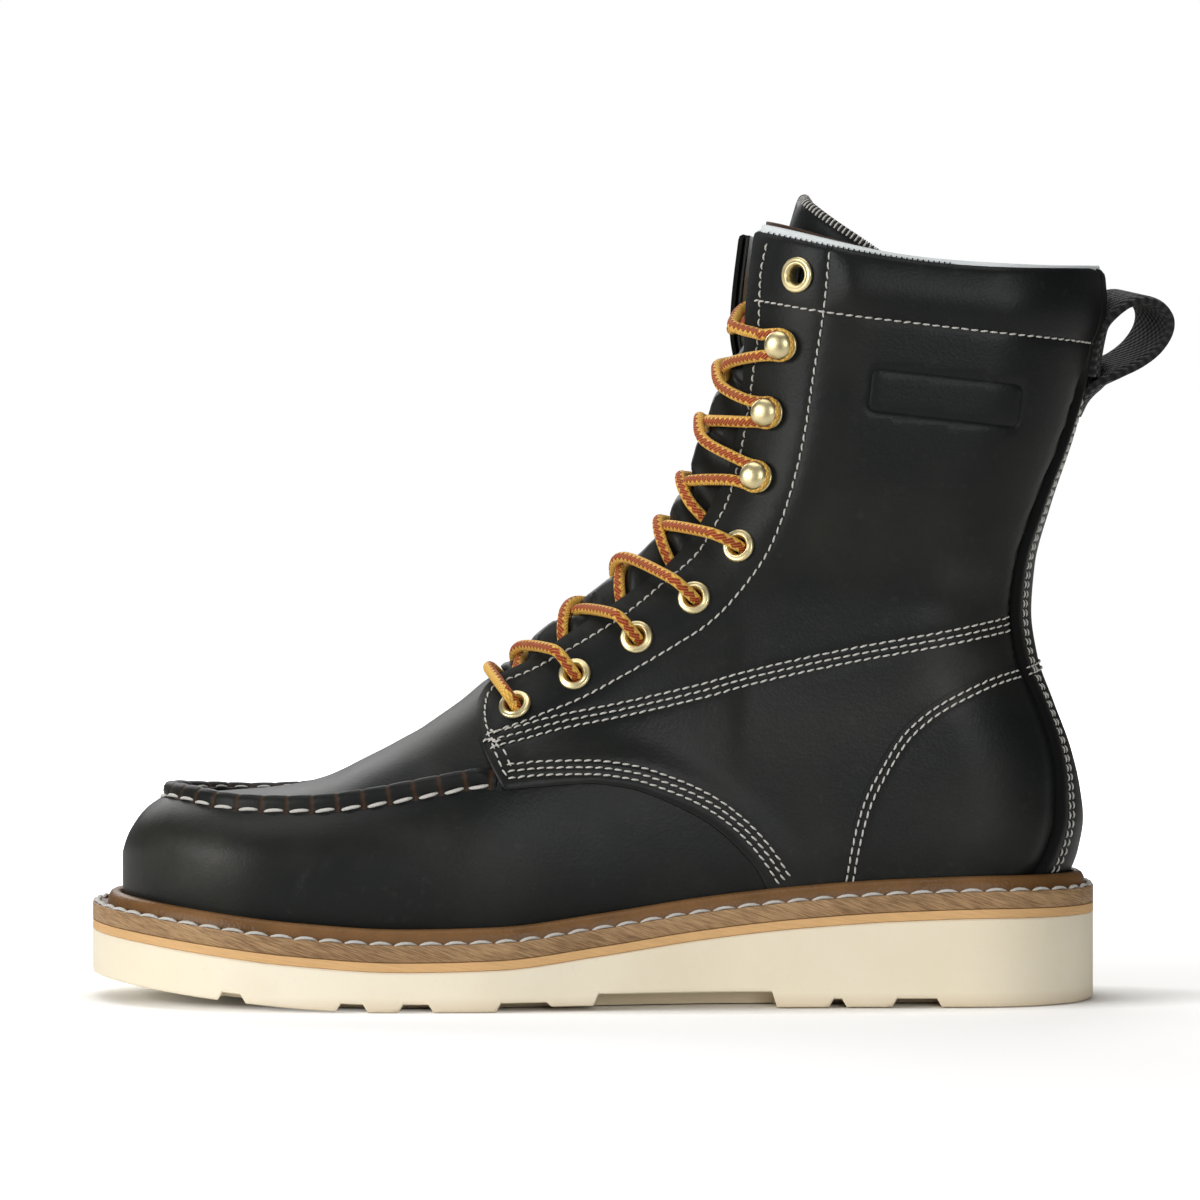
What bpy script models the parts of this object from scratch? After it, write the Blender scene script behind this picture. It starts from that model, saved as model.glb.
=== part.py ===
"""Moc toe work boot, left foot: a hollow leather upper stitched to a wedge sole.

Lengths in the tables are millimetres in the last's own frame: x runs from the sole's toe tip
to the heel, z up from the floor, y from the lateral side (negative) to the medial side.
"""
import math

import bmesh
import bpy
import numpy as np
from mathutils import Matrix, Vector

MM = 0.001
GAP = 0.3
LATERAL = -1
MEDIAL = 1

# Sole stack
SOLE_LENGTH = 307.0
SOLE_MARGIN = 6.5
MIDSOLE_THICKNESS = 2.4
WELT_RIM = 5.5
BEAD_HEIGHT = 4.1
BEAD_WIDTH = 5.2
EDGE_BREAK = 1.0
LUG_FLANK = 1.5
INSOLE_THICKNESS = 3.0
SOLE_SECTIONS = 34
SOLE_END_CUT = 0.15
SOLE_LEAST_HALF = 0.5
STATION_LEAST_STEP = 0.1

# Upper
WALL = 2.3
WIDEST_ABOVE_WELT = 12.0
FEATHER_TUCK = 0.035
LEG_BLEND = (70.0, 130.0)
TOE_ROUND = 50.0
TOE_POWER = 2.15
SOLE_TOE_ROUND = 58.0
BACK_ROUND = 37.0
SOLE_BACK_ROUND = 41.0
SHIN_ROUND = 38.0
ROUND_POWER = 2.1
TOE_BOW = 7.0
TOE_BOW_END = 110.0
TOE_TUCK_BELOW = 36.0
TOE_TUCK_SPAN = 10.0
TOE_TUCK = 1.2
THROAT_X = 121.0
THROAT_DEPTH = 45.0
SLOT_HALF = 14.0
COLLAR_DIP = 3.0
SMOOTH_ANGLE = math.radians(40)

# Rows of the upper's mesh: along the feather edge, then up the back; columns from top to edge
FEATHER_ROWS = 32
BACK_ROWS = 10
CLOSING_ROWS = 6
COLUMNS = 8
# Fineness of searches along and across the form
BISECTIONS = 30
FRONT_SAMPLES = 400

# Trim
TRIM_SIDES = 10
EYELET_OUTER = 5.0
EYELET_BARREL = 3.4
EYELET_BORE = 2.8
EYELET_FLANGE = 1.0
EYELET_ROUND = 0.6
EYELET_HOLE_DEPTH = 16.0
SEAT_PROBES = 24
SEAT_PROBE_HEIGHT = 8.0
HOOK_PLATE = 4.2
HOOK_CLEAR = 4.8
HOOK_WRAP = 3.0
BAR_CLEAR = 5.5
STRAND_STEP = 1.0
STRAND_START_IN = 5.0
STRAND_POINTS = 7
STRAND_CLEAR = 1.2
LACE_RADIUS = 1.75
LACE_END_STEP = {LATERAL: 2.4, MEDIAL: -2.0}
LACE_END_IN = 8.0
LACE_END_POINTS = 14
SEAM_RADIUS = 2.2
SEAM_POINTS = 30
LOOP_WIDTH = 22.0
LOOP_THICKNESS = 2.7
LOOP_POINTS = 22
TONGUE_THICKNESS = 5.0
TONGUE_EDGE = 2.5
TONGUE_ROOT = 12.0
TONGUE_CLEAR = 4.0
TONGUE_TUCK = (8.0, 2.0)
TONGUE_ABOVE_COLLAR = 13.0
TONGUE_ROWS = 17

# Centre line of the upper from the toe tip over the vamp and up the front: x, z
TOP_LINE = (
    (9.2, 40.0), (9.7, 45.0), (12.2, 51.6), (17.8, 58.5), (25.0, 62.2), (38.0, 63.6), (55.0, 65.0),
    (70.2, 67.7), (85.0, 73.6), (99.6, 81.5), (113.4, 90.7), (121.0, 97.0), (141.7, 111.2),
    (159.6, 123.0), (175.9, 135.4), (186.5, 150.0), (193.0, 164.0), (196.6, 182.0), (197.8, 210.0),
    (200.5, 234.0),
)
# Centre line of the back, heel seat to collar: z, x
BACK_LINE = (
    (36.0, 298.6), (45.0, 302.0), (55.0, 303.6), (64.0, 302.6), (76.0, 299.8), (90.0, 294.6),
    (104.0, 289.6), (118.0, 287.6), (132.0, 288.6), (150.0, 293.3), (172.0, 300.6), (196.0, 306.6),
    (222.0, 309.9),
)
# Widest outline of the upper from its bowed centre line: x, lateral, medial
OUTLINE = (
    (9.0, 46.0, 43.0), (50.0, 47.5, 44.0), (85.0, 49.0, 45.5), (115.0, 48.5, 43.0),
    (155.0, 41.0, 35.0), (200.0, 34.0, 30.5), (250.0, 32.5, 32.0), (304.0, 33.0, 33.0),
)
# Half-width of the shaft: z, half
SHAFT = ((60.0, 33.0), (96.0, 31.5), (120.0, 31.5), (150.0, 35.5), (180.0, 38.5), (222.0, 41.0))
# Squareness of the cross sections over the foot: x, power
ARCH = ((9.0, 2.6), (60.0, 2.5), (100.0, 2.15), (140.0, 1.95), (200.0, 2.0))
# Top edge of the outsole: x, z
SOLE_TOP = (
    (0.0, 21.0), (20.0, 18.9), (40.0, 16.5), (64.0, 13.8), (97.0, 11.9), (126.0, 12.5),
    (156.0, 16.1), (186.0, 20.5), (216.0, 23.8), (246.0, 25.8), (276.0, 26.7), (307.0, 26.4),
)
# Ground line of the lugs, with toe spring and a bevelled heel: x, z
GROUND = ((0.0, 7.9), (17.0, 5.9), (45.0, 2.9), (70.0, 0.7), (86.0, 0.0), (300.0, 0.0), (307.0, 0.8))
# Lugs from toe to heel: start, end, lift off the floor, rise of the notch behind
LUGS = (
    (0.0, 42.0, 0.0, 2.5), (50.5, 77.5, 0.0, 2.4), (87.0, 96.0, 0.0, 2.3), (106.5, 125.0, 0.0, 2.6),
    (141.5, 154.0, 1.3, 4.8), (209.0, 224.5, 0.0, 2.5), (230.0, 243.5, 0.0, 2.6),
    (258.5, 307.0, 0.0, 0.0),
)
# Low eyelets, speed hooks and top eyelet on the side view: x, z
LOW_EYELETS = ((130.5, 89.9), (148.3, 99.6), (166.9, 110.8), (184.2, 122.7), (197.6, 138.3))
HOOKS = ((204.1, 158.7), (207.6, 178.2), (211.4, 198.5))
TOP_EYELET = (215.0, 219.5)
# Speed hook from the crown of its head down to its plate: radius, height over the leather
HOOK_PROFILE = (
    (0.0, 5.9), (2.5, 5.4), (4.1, 4.3), (1.7, 3.6), (1.7, 1.1), (HOOK_PLATE, GAP), (0.0, GAP),
)
# Bead of the welt from the rim to the upper: share of its width, share of its height
BEAD_PROFILE = ((1.0, 0.0), (0.85, 0.65), (0.45, 1.0), (0.0, 0.85))
# Hidden lace ends from the top hook: step up the front, place across, lift, share of the crossing step
LACE_END = (
    (5.5, 14.0, 3.0, 0.0), (8.5, 5.0, -1.8, 1.0), (11.5, -5.0, -3.8, 1.0), (15.0, -14.0, -5.0, 0.0),
)
# Gathered seam between plug and vamp: x, half-width
MOC_SEAM = (
    (24.5, 0.0), (27.0, 11.0), (33.0, 20.0), (46.0, 31.0), (75.0, 37.0), (98.0, 39.0), (118.0, 40.0),
)
MOC_MEDIAL_SHARE = 0.92
# Tongue: z on the front line, forward bulge between the flaps, half-width
TONGUE = (
    (80.0, -3.2, 18.0), (97.0, 0.0, 20.0), (111.0, 3.5, 23.0), (123.0, 5.5, 25.0), (150.0, 6.5, 27.0),
    (164.0, 6.5, 28.0), (182.0, 3.5, 30.0), (196.0, -3.0, 31.0), (208.0, -8.0, 32.0),
    (220.0, -11.0, 33.0), (234.0, -14.0, 34.0), (248.0, -17.0, 34.0),
)
# Middle of the pull loop's strap on the centre plane: x, z
LOOP_PATH = (
    (303.5, 176.0), (306.4, 185.0), (312.0, 188.5), (320.0, 193.0), (326.3, 199.0), (328.7, 205.5),
    (326.0, 210.5), (320.0, 213.2), (314.5, 212.6), (311.3, 208.5), (309.5, 201.5),
)

COLOURS = {
    "leather": ((0.022, 0.022, 0.021), 0.45, 0.0),
    "welt": ((0.21, 0.12, 0.06), 0.6, 0.0),
    "tan": ((0.62, 0.36, 0.16), 0.6, 0.0),
    "cream": ((0.82, 0.75, 0.58), 0.55, 0.0),
    "lining": ((0.55, 0.42, 0.28), 0.8, 0.0),
    "webbing": ((0.02, 0.02, 0.02), 0.85, 0.0),
    "brass": ((0.62, 0.47, 0.2), 0.3, 1.0),
    "lace": ((0.72, 0.34, 0.05), 0.8, 0.0),
}


def smooth_curve(columns):
    """Smooth function through table rows (knot, value) that never overshoots them."""
    knots = np.array([row[0] for row in columns], dtype=float)
    values = np.array([row[1] for row in columns], dtype=float)
    spans = np.diff(knots)
    slopes = np.diff(values) / spans
    tangents = np.empty_like(values)
    tangents[0] = slopes[0]
    tangents[-1] = slopes[-1]
    for i in range(1, len(values) - 1):
        before, after = slopes[i - 1], slopes[i]
        tangents[i] = 2 * before * after / (before + after) if before * after > 0 else 0.0

    def value_at(knot):
        knot = min(max(knot, knots[0]), knots[-1])
        i = min(int(np.searchsorted(knots, knot, side="right")) - 1, len(spans) - 1)
        t = (knot - knots[i]) / spans[i]
        h00 = (1 + 2 * t) * (1 - t) ** 2
        h10 = t * (1 - t) ** 2
        h01 = t * t * (3 - 2 * t)
        h11 = t * t * (t - 1)
        return float(h00 * values[i] + h01 * values[i + 1]
                     + spans[i] * (h10 * tangents[i] + h11 * tangents[i + 1]))

    return value_at


def smoothstep(value, low, high):
    """Smooth ramp from 0 at low to 1 at high."""
    t = min(max((value - low) / (high - low), 0.0), 1.0)
    return t * t * (3 - 2 * t)


def rounded(distance, radius, power):
    """Share of the full width at a distance in from a rounded end."""
    t = min(max(distance / radius, 0.0), 1.0)
    return (1 - (1 - t) ** power) ** (1 / power)


def chord_lengths(points):
    """Running length along a list of points."""
    steps = [math.dist(a, b) for a, b in zip(points, points[1:])]
    return np.concatenate(([0.0], np.cumsum(steps)))


top_of = smooth_curve(TOP_LINE)
front_of = smooth_curve([(z, x) for x, z in TOP_LINE])
back_of = smooth_curve(BACK_LINE)
outline_of = {
    LATERAL: smooth_curve([(x, lateral) for x, lateral, _ in OUTLINE]),
    MEDIAL: smooth_curve([(x, medial) for x, _, medial in OUTLINE]),
}
shaft_of = smooth_curve(SHAFT)
arch_of = smooth_curve(ARCH)
sole_top_of = smooth_curve(SOLE_TOP)
ground_of = smooth_curve(GROUND)
front_lengths = chord_lengths(TOP_LINE)
front_x_at = smooth_curve([(s, x) for s, (x, _) in zip(front_lengths, TOP_LINE)])
front_z_at = smooth_curve([(s, z) for s, (_, z) in zip(front_lengths, TOP_LINE)])
bulge_of = smooth_curve([(z, bulge) for z, bulge, _ in TONGUE])
tongue_half_of = smooth_curve([(z, half) for z, _, half in TONGUE])


def bow(x):
    """Sideways place of the foot's centre line: the toe leans to the medial side."""
    return TOE_BOW * max(0.0, 1 - x / TOE_BOW_END) ** 2


def upper_bottom(x):
    """Height of the upper's lower edge, just over the midsole."""
    return sole_top_of(x) + MIDSOLE_THICKNESS + 2 * GAP


def rim_top(x):
    """Height of the welt's flat rim."""
    return sole_top_of(x) + MIDSOLE_THICKNESS + GAP + WELT_RIM


def welt_top(x):
    """Height of the welt's bead, where the upper comes out of it."""
    return rim_top(x) + BEAD_HEIGHT


def toe_of(z):
    """Front of the toe at a height."""
    tuck = max(0.0, TOE_TUCK_BELOW - z) / TOE_TUCK_SPAN
    return TOP_LINE[0][0] + TOE_TUCK * tuck * tuck


def half_width(x, z, side):
    """Half-width of the upper's outer surface at a point of the side view."""
    seat = welt_top(x)
    z = max(z, seat)
    widest = seat + WIDEST_ABOVE_WELT
    leg = smoothstep(z, *LEG_BLEND)
    base = (1 - leg) * outline_of[side](x) + leg * shaft_of(z)
    base *= rounded(back_of(z) - x, BACK_ROUND, ROUND_POWER)
    base *= 1 - FEATHER_TUCK * max(0.0, (widest - z) / WIDEST_ABOVE_WELT) ** 2
    top = top_of(x) if x < TOP_LINE[-1][0] else TOP_LINE[-1][1]
    rise = min(max((z - widest) / (top - widest), 0.0), 1.0) if top > widest else 0.0
    power = arch_of(x)
    foot = (1 - rise ** power) ** (1 / power) * rounded(x - toe_of(z), TOE_ROUND, TOE_POWER)
    shin = rounded(x - front_of(z), SHIN_ROUND, ROUND_POWER)
    return base * ((1 - leg) * foot + leg * shin)


def on_upper(x, z, side):
    """Point of the upper's outer surface."""
    return Vector((x, bow(x) + side * half_width(x, z, side), z))


def upper_normal(x, z, side):
    """Outward direction of the upper's outer surface."""
    step = 0.5
    slope_x = (half_width(x + step, z, side) - half_width(x - step, z, side)) / (2 * step)
    slope_z = (half_width(x, z + step, side) - half_width(x, z - step, side)) / (2 * step)
    return Vector((-slope_x, side, -slope_z)).normalized()


def height_on_upper(x, half, side):
    """Height over the foot at which the upper is this wide."""
    low, high = welt_top(x) + WIDEST_ABOVE_WELT, top_of(x)
    for _ in range(BISECTIONS):
        middle = (low + high) / 2
        low, high = (middle, high) if half_width(x, middle, side) > half else (low, middle)
    return (low + high) / 2


def front_frame(s):
    """Point, direction and outward normal of the front line at a running length."""
    s_end = front_lengths[-1]
    reach = s - s_end if s > s_end else 0.0
    s = min(s, s_end)
    step = 2.0
    point = Vector((front_x_at(s), 0.0, front_z_at(s)))
    near, far = max(s - step, 0.0), min(s + step, s_end)
    ahead = Vector((front_x_at(far) - front_x_at(near), 0.0, front_z_at(far) - front_z_at(near)))
    ahead.normalize()
    return point + ahead * reach, ahead, Vector((-ahead.z, 0.0, ahead.x))


def front_length_at(x, z):
    """Running length of the front line abreast of a point of the side view."""
    best = min(np.linspace(0.0, front_lengths[-1], FRONT_SAMPLES),
               key=lambda s: math.dist((front_x_at(s), front_z_at(s)), (x, z)))
    return float(best)


def over_throat(s, y, lift):
    """Point that stands a lift out from the throat's closed form, abreast of s."""
    point, _, out = front_frame(s)
    side = LATERAL if y < 0 else MEDIAL
    shallow, deep = 0.0, THROAT_DEPTH
    for _ in range(BISECTIONS):
        middle = (shallow + deep) / 2
        place = point - out * middle
        narrow = half_width(place.x, min(place.z, TOP_LINE[-1][1]), side) < abs(y)
        shallow, deep = (middle, deep) if narrow else (shallow, middle)
    place = point - out * shallow
    lifted = upper_normal(place.x, min(place.z, TOP_LINE[-1][1] - 1.0), side) * lift
    return place + Vector((0.0, y, 0.0)) + lifted


THROAT_S = front_length_at(THROAT_X, top_of(THROAT_X))
FRONT_S = float(front_lengths[-1])


def slot_half(s):
    """Half-width of the throat opening, round at its lower end."""
    t = min(max((s - THROAT_S) / SLOT_HALF, 0.0), 1.0)
    return SLOT_HALF * math.sqrt(1 - (1 - t) ** 2)


def new_material(name):
    """Principled material from the colour table."""
    colour, roughness, metallic = COLOURS[name]
    material = bpy.data.materials.new(name)
    material.use_nodes = True
    shader = material.node_tree.nodes["Principled BSDF"]
    shader.inputs["Base Color"].default_value = (*colour, 1.0)
    shader.inputs["Roughness"].default_value = roughness
    shader.inputs["Metallic"].default_value = metallic
    return material


def place_object(name, data, material, collection):
    """New object under the boot's origin, with its own material."""
    item = bpy.data.objects.new(name, data)
    collection.objects.link(item)
    item.parent = origin
    if material:
        data.materials.clear()
        data.materials.append(material)
    return item


def finish_mesh(name, built, material, collection, smooth=True):
    """Turn a bmesh in millimetres into an object in metres, faces out."""
    bmesh.ops.remove_doubles(built, verts=built.verts, dist=0.001)
    bmesh.ops.recalc_face_normals(built, faces=built.faces)
    bmesh.ops.scale(built, vec=(MM, MM, MM), verts=built.verts)
    mesh = bpy.data.meshes.new(name)
    built.to_mesh(mesh)
    built.free()
    item = place_object(name, mesh, material, collection)
    if smooth:
        mesh.shade_smooth()
        mesh.set_sharp_from_angle(angle=SMOOTH_ANGLE)
    return item


def bridge_rings(built, rings, closed):
    """Skin a list of equal rings of points; ends are capped unless the list closes."""
    loops = [[built.verts.new(point) for point in ring] for ring in rings]
    pairs = list(zip(loops, loops[1:]))
    if closed:
        pairs.append((loops[-1], loops[0]))
    for first, second in pairs:
        for i in range(len(first)):
            j = (i + 1) % len(first)
            built.faces.new((first[i], first[j], second[j], second[i]))
    if not closed:
        built.faces.new(loops[0])
        built.faces.new(list(reversed(loops[-1])))


def lofted(name, rings, material, closed=False, smooth=True):
    """Solid skinned over rings of points."""
    built = bmesh.new()
    bridge_rings(built, rings, closed)
    return finish_mesh(name, built, material, parts, smooth)


def along(start, end, count):
    """Places from start to end, closer together at both ends."""
    return [start + (end - start) * (1 - math.cos(math.pi * k / count)) / 2 for k in range(count + 1)]


def sole_half(x, side):
    """Half-width of the sole's edge from the bowed centre line."""
    ends = rounded(x, SOLE_TOE_ROUND, TOE_POWER)
    ends *= rounded(SOLE_LENGTH - x, SOLE_BACK_ROUND, ROUND_POWER)
    return (outline_of[side](x) + SOLE_MARGIN) * ends


def sole_edge(x, side, inset=0.0):
    """Sideways place of the sole's edge."""
    return bow(x) + side * max(sole_half(x, side) - inset, SOLE_LEAST_HALF)


def tread(x):
    """Underside of the outsole: lugs on the ground line, notches between them."""
    for (start, end, lift, notch), (following, _, next_lift, _) in zip(LUGS, LUGS[1:] + LUGS[-1:]):
        if start <= x <= end:
            return ground_of(x) + lift
        if end < x < following:
            down = min(1.0, (x - end) / LUG_FLANK)
            up = min(1.0, (following - x) / LUG_FLANK)
            return ground_of(x) + min(lift + (notch - lift) * down, next_lift + (notch - next_lift) * up)
    return ground_of(x)


def sole_sections():
    """Even spread of sections along the sole, just short of both tips."""
    return along(SOLE_END_CUT, SOLE_LENGTH - SOLE_END_CUT, SOLE_SECTIONS)


def tread_stations():
    """Sections of the outsole: an even spread plus both edges of every flank."""
    stations = set(sole_sections())
    for start, end, _, _ in LUGS:
        for x in (start - LUG_FLANK, start, end, end + LUG_FLANK):
            if SOLE_END_CUT < x < SOLE_LENGTH - SOLE_END_CUT:
                stations.add(x)
    ordered = sorted(stations)
    return [a for a, b in zip(ordered, ordered[1:]) if b - a > STATION_LEAST_STEP] + ordered[-1:]


def make_outsole(material):
    """Wedge outsole with its lugs."""
    rings = []
    for x in tread_stations():
        low, high = tread(x), sole_top_of(x)
        rings.append([
            (x, sole_edge(x, LATERAL, EDGE_BREAK), low),
            (x, sole_edge(x, MEDIAL, EDGE_BREAK), low),
            (x, sole_edge(x, MEDIAL), low + EDGE_BREAK),
            (x, sole_edge(x, MEDIAL), high),
            (x, sole_edge(x, LATERAL), high),
            (x, sole_edge(x, LATERAL), low + EDGE_BREAK),
        ])
    return lofted("outsole", rings, material)


def make_midsole(material):
    """Thin strip between outsole and welt."""
    rings = []
    for x in sole_sections():
        low = sole_top_of(x) + GAP
        high = low + MIDSOLE_THICKNESS
        left, right = sole_edge(x, LATERAL), sole_edge(x, MEDIAL)
        rings.append([(x, left, low), (x, right, low), (x, right, high), (x, left, high)])
    return lofted("midsole", rings, material)


def feather_stations():
    """Places along the upper's lower edge, shared by upper, welt and insole."""
    first = toe_of(welt_top(TOP_LINE[0][0]))
    last = back_of(welt_top(BACK_LINE[0][1]))
    return along(first, last, FEATHER_ROWS)


def feather_loop(offset):
    """Closed plan line around the upper's lower edge, moved out by an offset: lateral, then medial."""
    xs = feather_stations()
    sides = [(x, LATERAL) for x in xs[:-1]] + [(x, MEDIAL) for x in reversed(xs[1:])]
    line = [(x, bow(x) + side * half_width(x, welt_top(x), side)) for x, side in sides]
    line[0] = (xs[0], bow(xs[0]))
    line[FEATHER_ROWS] = (xs[-1], 0.0)
    moved = []
    for i, (x, y) in enumerate(line):
        before, after = line[i - 1], line[(i + 1) % len(line)]
        along_line = Vector((after[0] - before[0], after[1] - before[1])).normalized()
        moved.append((x + along_line.y * offset, y - along_line.x * offset))
    return moved


def make_welt(material):
    """Storm welt: flat stitched rim and a bead turned up against the upper."""
    inner = feather_loop(GAP)
    xs = along(0.0, SOLE_LENGTH, FEATHER_ROWS)
    outer = [(x, sole_edge(x, LATERAL)) for x in xs[:-1]]
    outer += [(x, sole_edge(x, MEDIAL)) for x in reversed(xs[1:])]
    outer[0] = (xs[0], bow(xs[0]))
    outer[FEATHER_ROWS] = (xs[-1], 0.0)
    rings = []
    for near, far in zip(inner, outer):
        near, far = Vector(near), Vector(far)
        reach = (far - near).length

        def at(distance, height_of, extra, near=near, far=far, reach=reach):
            place = near.lerp(far, min(distance / reach, 1.0))
            return (place.x, place.y, height_of(place.x) + extra)

        ring = [at(0.0, upper_bottom, 0.0), at(reach, upper_bottom, 0.0), at(reach, rim_top, 0.0)]
        ring += [at(BEAD_WIDTH * across, rim_top, BEAD_HEIGHT * up) for across, up in BEAD_PROFILE]
        rings.append(ring)
    return lofted("welt", rings, material, closed=True)


def make_insole(material):
    """Footbed inside the upper, on the midsole."""
    line = feather_loop(-(WALL + 3 * GAP))
    rings = []
    for k in range(2, FEATHER_ROWS - 1):
        left, right = line[k], line[-k]
        ring = [(x, y, upper_bottom(x)) for x, y in (left, right)]
        ring += [(x, y, upper_bottom(x) + INSOLE_THICKNESS) for x, y in (right, left)]
        rings.append(ring)
    return lofted("insole", rings, material)


def upper_row(k):
    """Both ends of a row of the upper on the side view, how far it is up the back, its front length."""
    xs = feather_stations()
    vamp_rows = sum(1 for x in xs if x <= THROAT_X)
    if k < vamp_rows:
        x = xs[k]
        return Vector((x, top_of(x))), Vector((x, welt_top(x))), 0.0, front_length_at(x, top_of(x))
    share = (k - vamp_rows + 1) / (FEATHER_ROWS + BACK_ROWS - vamp_rows + 1)
    s = THROAT_S + (FRONT_S - THROAT_S) * share
    head = Vector((front_x_at(s), front_z_at(s)))
    if k <= FEATHER_ROWS:
        return head, Vector((xs[k], welt_top(xs[k]))), 0.0, s
    climb = (k - FEATHER_ROWS) / BACK_ROWS
    low, high = welt_top(xs[-1]), BACK_LINE[-1][0]
    z = low + (high - low) * climb
    return head, Vector((back_of(z), z)), climb, s


def slot_share(head, foot, slot, side):
    """How far down a row the throat's edge lies."""
    low, high = 0.0, 0.5
    for _ in range(BISECTIONS):
        middle = (low + high) / 2
        place = head.lerp(foot, middle)
        low, high = (middle, high) if half_width(place.x, place.y, side) < slot else (low, middle)
    return low


def upper_half_grid(side):
    """Points of one half of the upper, row by row from toe to collar, each row from top to edge.

    Rows that end in the welt have one more point, straight down inside it.
    """
    grid = []
    for k in range(FEATHER_ROWS + BACK_ROWS + 1):
        head, foot, climb, s = upper_row(k)
        slot = slot_half(s)
        start = slot_share(head, foot, slot, side) if slot > 0.0 else 0.0
        closing = smoothstep(k, FEATHER_ROWS - CLOSING_ROWS, FEATHER_ROWS)
        row = []
        for column in range(COLUMNS + 1):
            t = column / COLUMNS
            opened = 1 - math.cos(math.pi * t / 2)
            closed = (1 - math.cos(math.pi * t)) / 2
            share = start + (1 - start) * (opened + (closed - opened) * closing)
            place = head.lerp(foot, share)
            dip = COLLAR_DIP * climb ** 2 * 4 * share * (1 - share)
            x, z = place.x, place.y - dip
            half = half_width(x, z, side)
            if k == 0:
                x, half = toe_of(z), 0.0
            on_back = k >= FEATHER_ROWS and column == COLUMNS
            on_top = slot == 0.0 and column == 0
            row.append((x, bow(x) + (0.0 if on_back or on_top else side * half), z))
        if k <= FEATHER_ROWS:
            x, y, _ = row[-1]
            row.append((x, y, upper_bottom(x)))
        grid.append(row)
    return grid


def make_upper(material):
    """Vamp, quarters and shaft as one leather wall, open at collar, throat and underneath."""
    built = bmesh.new()
    for side in (LATERAL, MEDIAL):
        grid = [[built.verts.new(point) for point in row] for row in upper_half_grid(side)]
        for first, second in zip(grid, grid[1:]):
            for i in range(min(len(first), len(second)) - 1):
                quad = (first[i], first[i + 1], second[i + 1], second[i])
                built.faces.new(quad if side == LATERAL else tuple(reversed(quad)))
    upper = finish_mesh("upper", built, material, parts)
    shell = upper.modifiers.new("wall", "SOLIDIFY")
    shell.thickness = WALL * MM
    shell.offset = -1.0
    shell.use_even_offset = True
    return upper


def seat_matrix(upper, x, z, side, radius):
    """Placement on the leather for trim of a radius: local z points out, the rim just touches."""
    centre = on_upper(x, z, side)
    out = upper_normal(x, z, side)
    turn = out.to_track_quat("Z", "Y").to_matrix()
    heights = []
    for k in range(SEAT_PROBES):
        angle = 2 * math.pi * k / SEAT_PROBES
        over = Vector((radius * math.cos(angle), radius * math.sin(angle), SEAT_PROBE_HEIGHT))
        found, place, _, _ = upper.ray_cast((centre + turn @ over) * MM, -out)
        if not found:
            raise ValueError(f"no leather under the trim at {x}, {z}")
        heights.append((place / MM - centre).dot(out))
    return Matrix.Translation((centre + out * max(heights)) * MM) @ turn.to_4x4()


def cut_eyelet_holes(upper):
    """Round holes for the eyelets' barrels."""
    built = bmesh.new()
    radius = (EYELET_BARREL + GAP) * MM
    for side in (LATERAL, MEDIAL):
        for x, z in LOW_EYELETS + (TOP_EYELET,):
            bmesh.ops.create_cone(
                built, cap_ends=True, segments=TRIM_SIDES, radius1=radius, radius2=radius,
                depth=EYELET_HOLE_DEPTH * MM, matrix=seat_matrix(upper, x, z, side, EYELET_OUTER))
    mesh = bpy.data.meshes.new("eyelet_holes")
    built.to_mesh(mesh)
    built.free()
    cutter = place_object("eyelet_holes", mesh, None, cutters)
    cutter.hide_render = True
    cutter.display_type = "WIRE"
    cut = upper.modifiers.new("eyelet_holes", "BOOLEAN")
    cut.operation = "DIFFERENCE"
    cut.object = cutter


def turned(name, profile, closed, material, matrix):
    """Solid of revolution about its local z from a profile (radius, height)."""
    mesh = bpy.data.meshes.new(name)
    count = len(profile)
    edges = [(i, i + 1) for i in range(count - 1)]
    if closed:
        edges.append((count - 1, 0))
    mesh.from_pydata([(r * MM, 0.0, h * MM) for r, h in profile], edges, [])
    item = place_object(name, mesh, material, parts)
    item.matrix_local = matrix
    screw = item.modifiers.new("turn", "SCREW")
    screw.axis = "Z"
    screw.steps = TRIM_SIDES
    screw.render_steps = TRIM_SIDES
    screw.use_merge_vertices = True
    screw.merge_threshold = 0.00001
    return item


def make_trim(upper, material):
    """Flanged brass eyelets through the wall and speed hooks on it, in pairs."""
    eyelet = (
        (EYELET_BORE, GAP + EYELET_FLANGE), (EYELET_OUTER - EYELET_ROUND, GAP + EYELET_FLANGE),
        (EYELET_OUTER, GAP), (EYELET_BARREL, GAP), (EYELET_BARREL, -WALL), (EYELET_BORE, -WALL),
    )
    for side, label in ((LATERAL, "lateral"), (MEDIAL, "medial")):
        for number, (x, z) in enumerate(LOW_EYELETS + (TOP_EYELET,), start=1):
            matrix = seat_matrix(upper, x, z, side, EYELET_OUTER)
            turned(f"eyelet_{label}_{number}", eyelet, True, material, matrix)
        for number, (x, z) in enumerate(HOOKS, start=1):
            matrix = seat_matrix(upper, x, z, side, HOOK_PLATE)
            turned(f"hook_{label}_{number}", HOOK_PROFILE, False, material, matrix)


def smooth_path(points, count):
    """Points spread evenly along a smooth curve through the given ones."""
    lengths = chord_lengths(points)
    curves = [smooth_curve(list(zip(lengths, axis))) for axis in zip(*points)]
    return [Vector([curve(s) for curve in curves]) for s in np.linspace(0.0, lengths[-1], count)]


def tube_curve(name, points, radius, material, collection):
    """Round tube along points in millimetres."""
    curve = bpy.data.curves.new(name, "CURVE")
    curve.dimensions = "3D"
    curve.bevel_depth = radius * MM
    curve.bevel_resolution = 2
    curve.use_fill_caps = True
    spline = curve.splines.new("POLY")
    spline.points.add(len(points) - 1)
    for slot, point in zip(spline.points, points):
        slot.co = (*(Vector(point) * MM), 1.0)
    return place_object(name, curve, material, collection)


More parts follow.
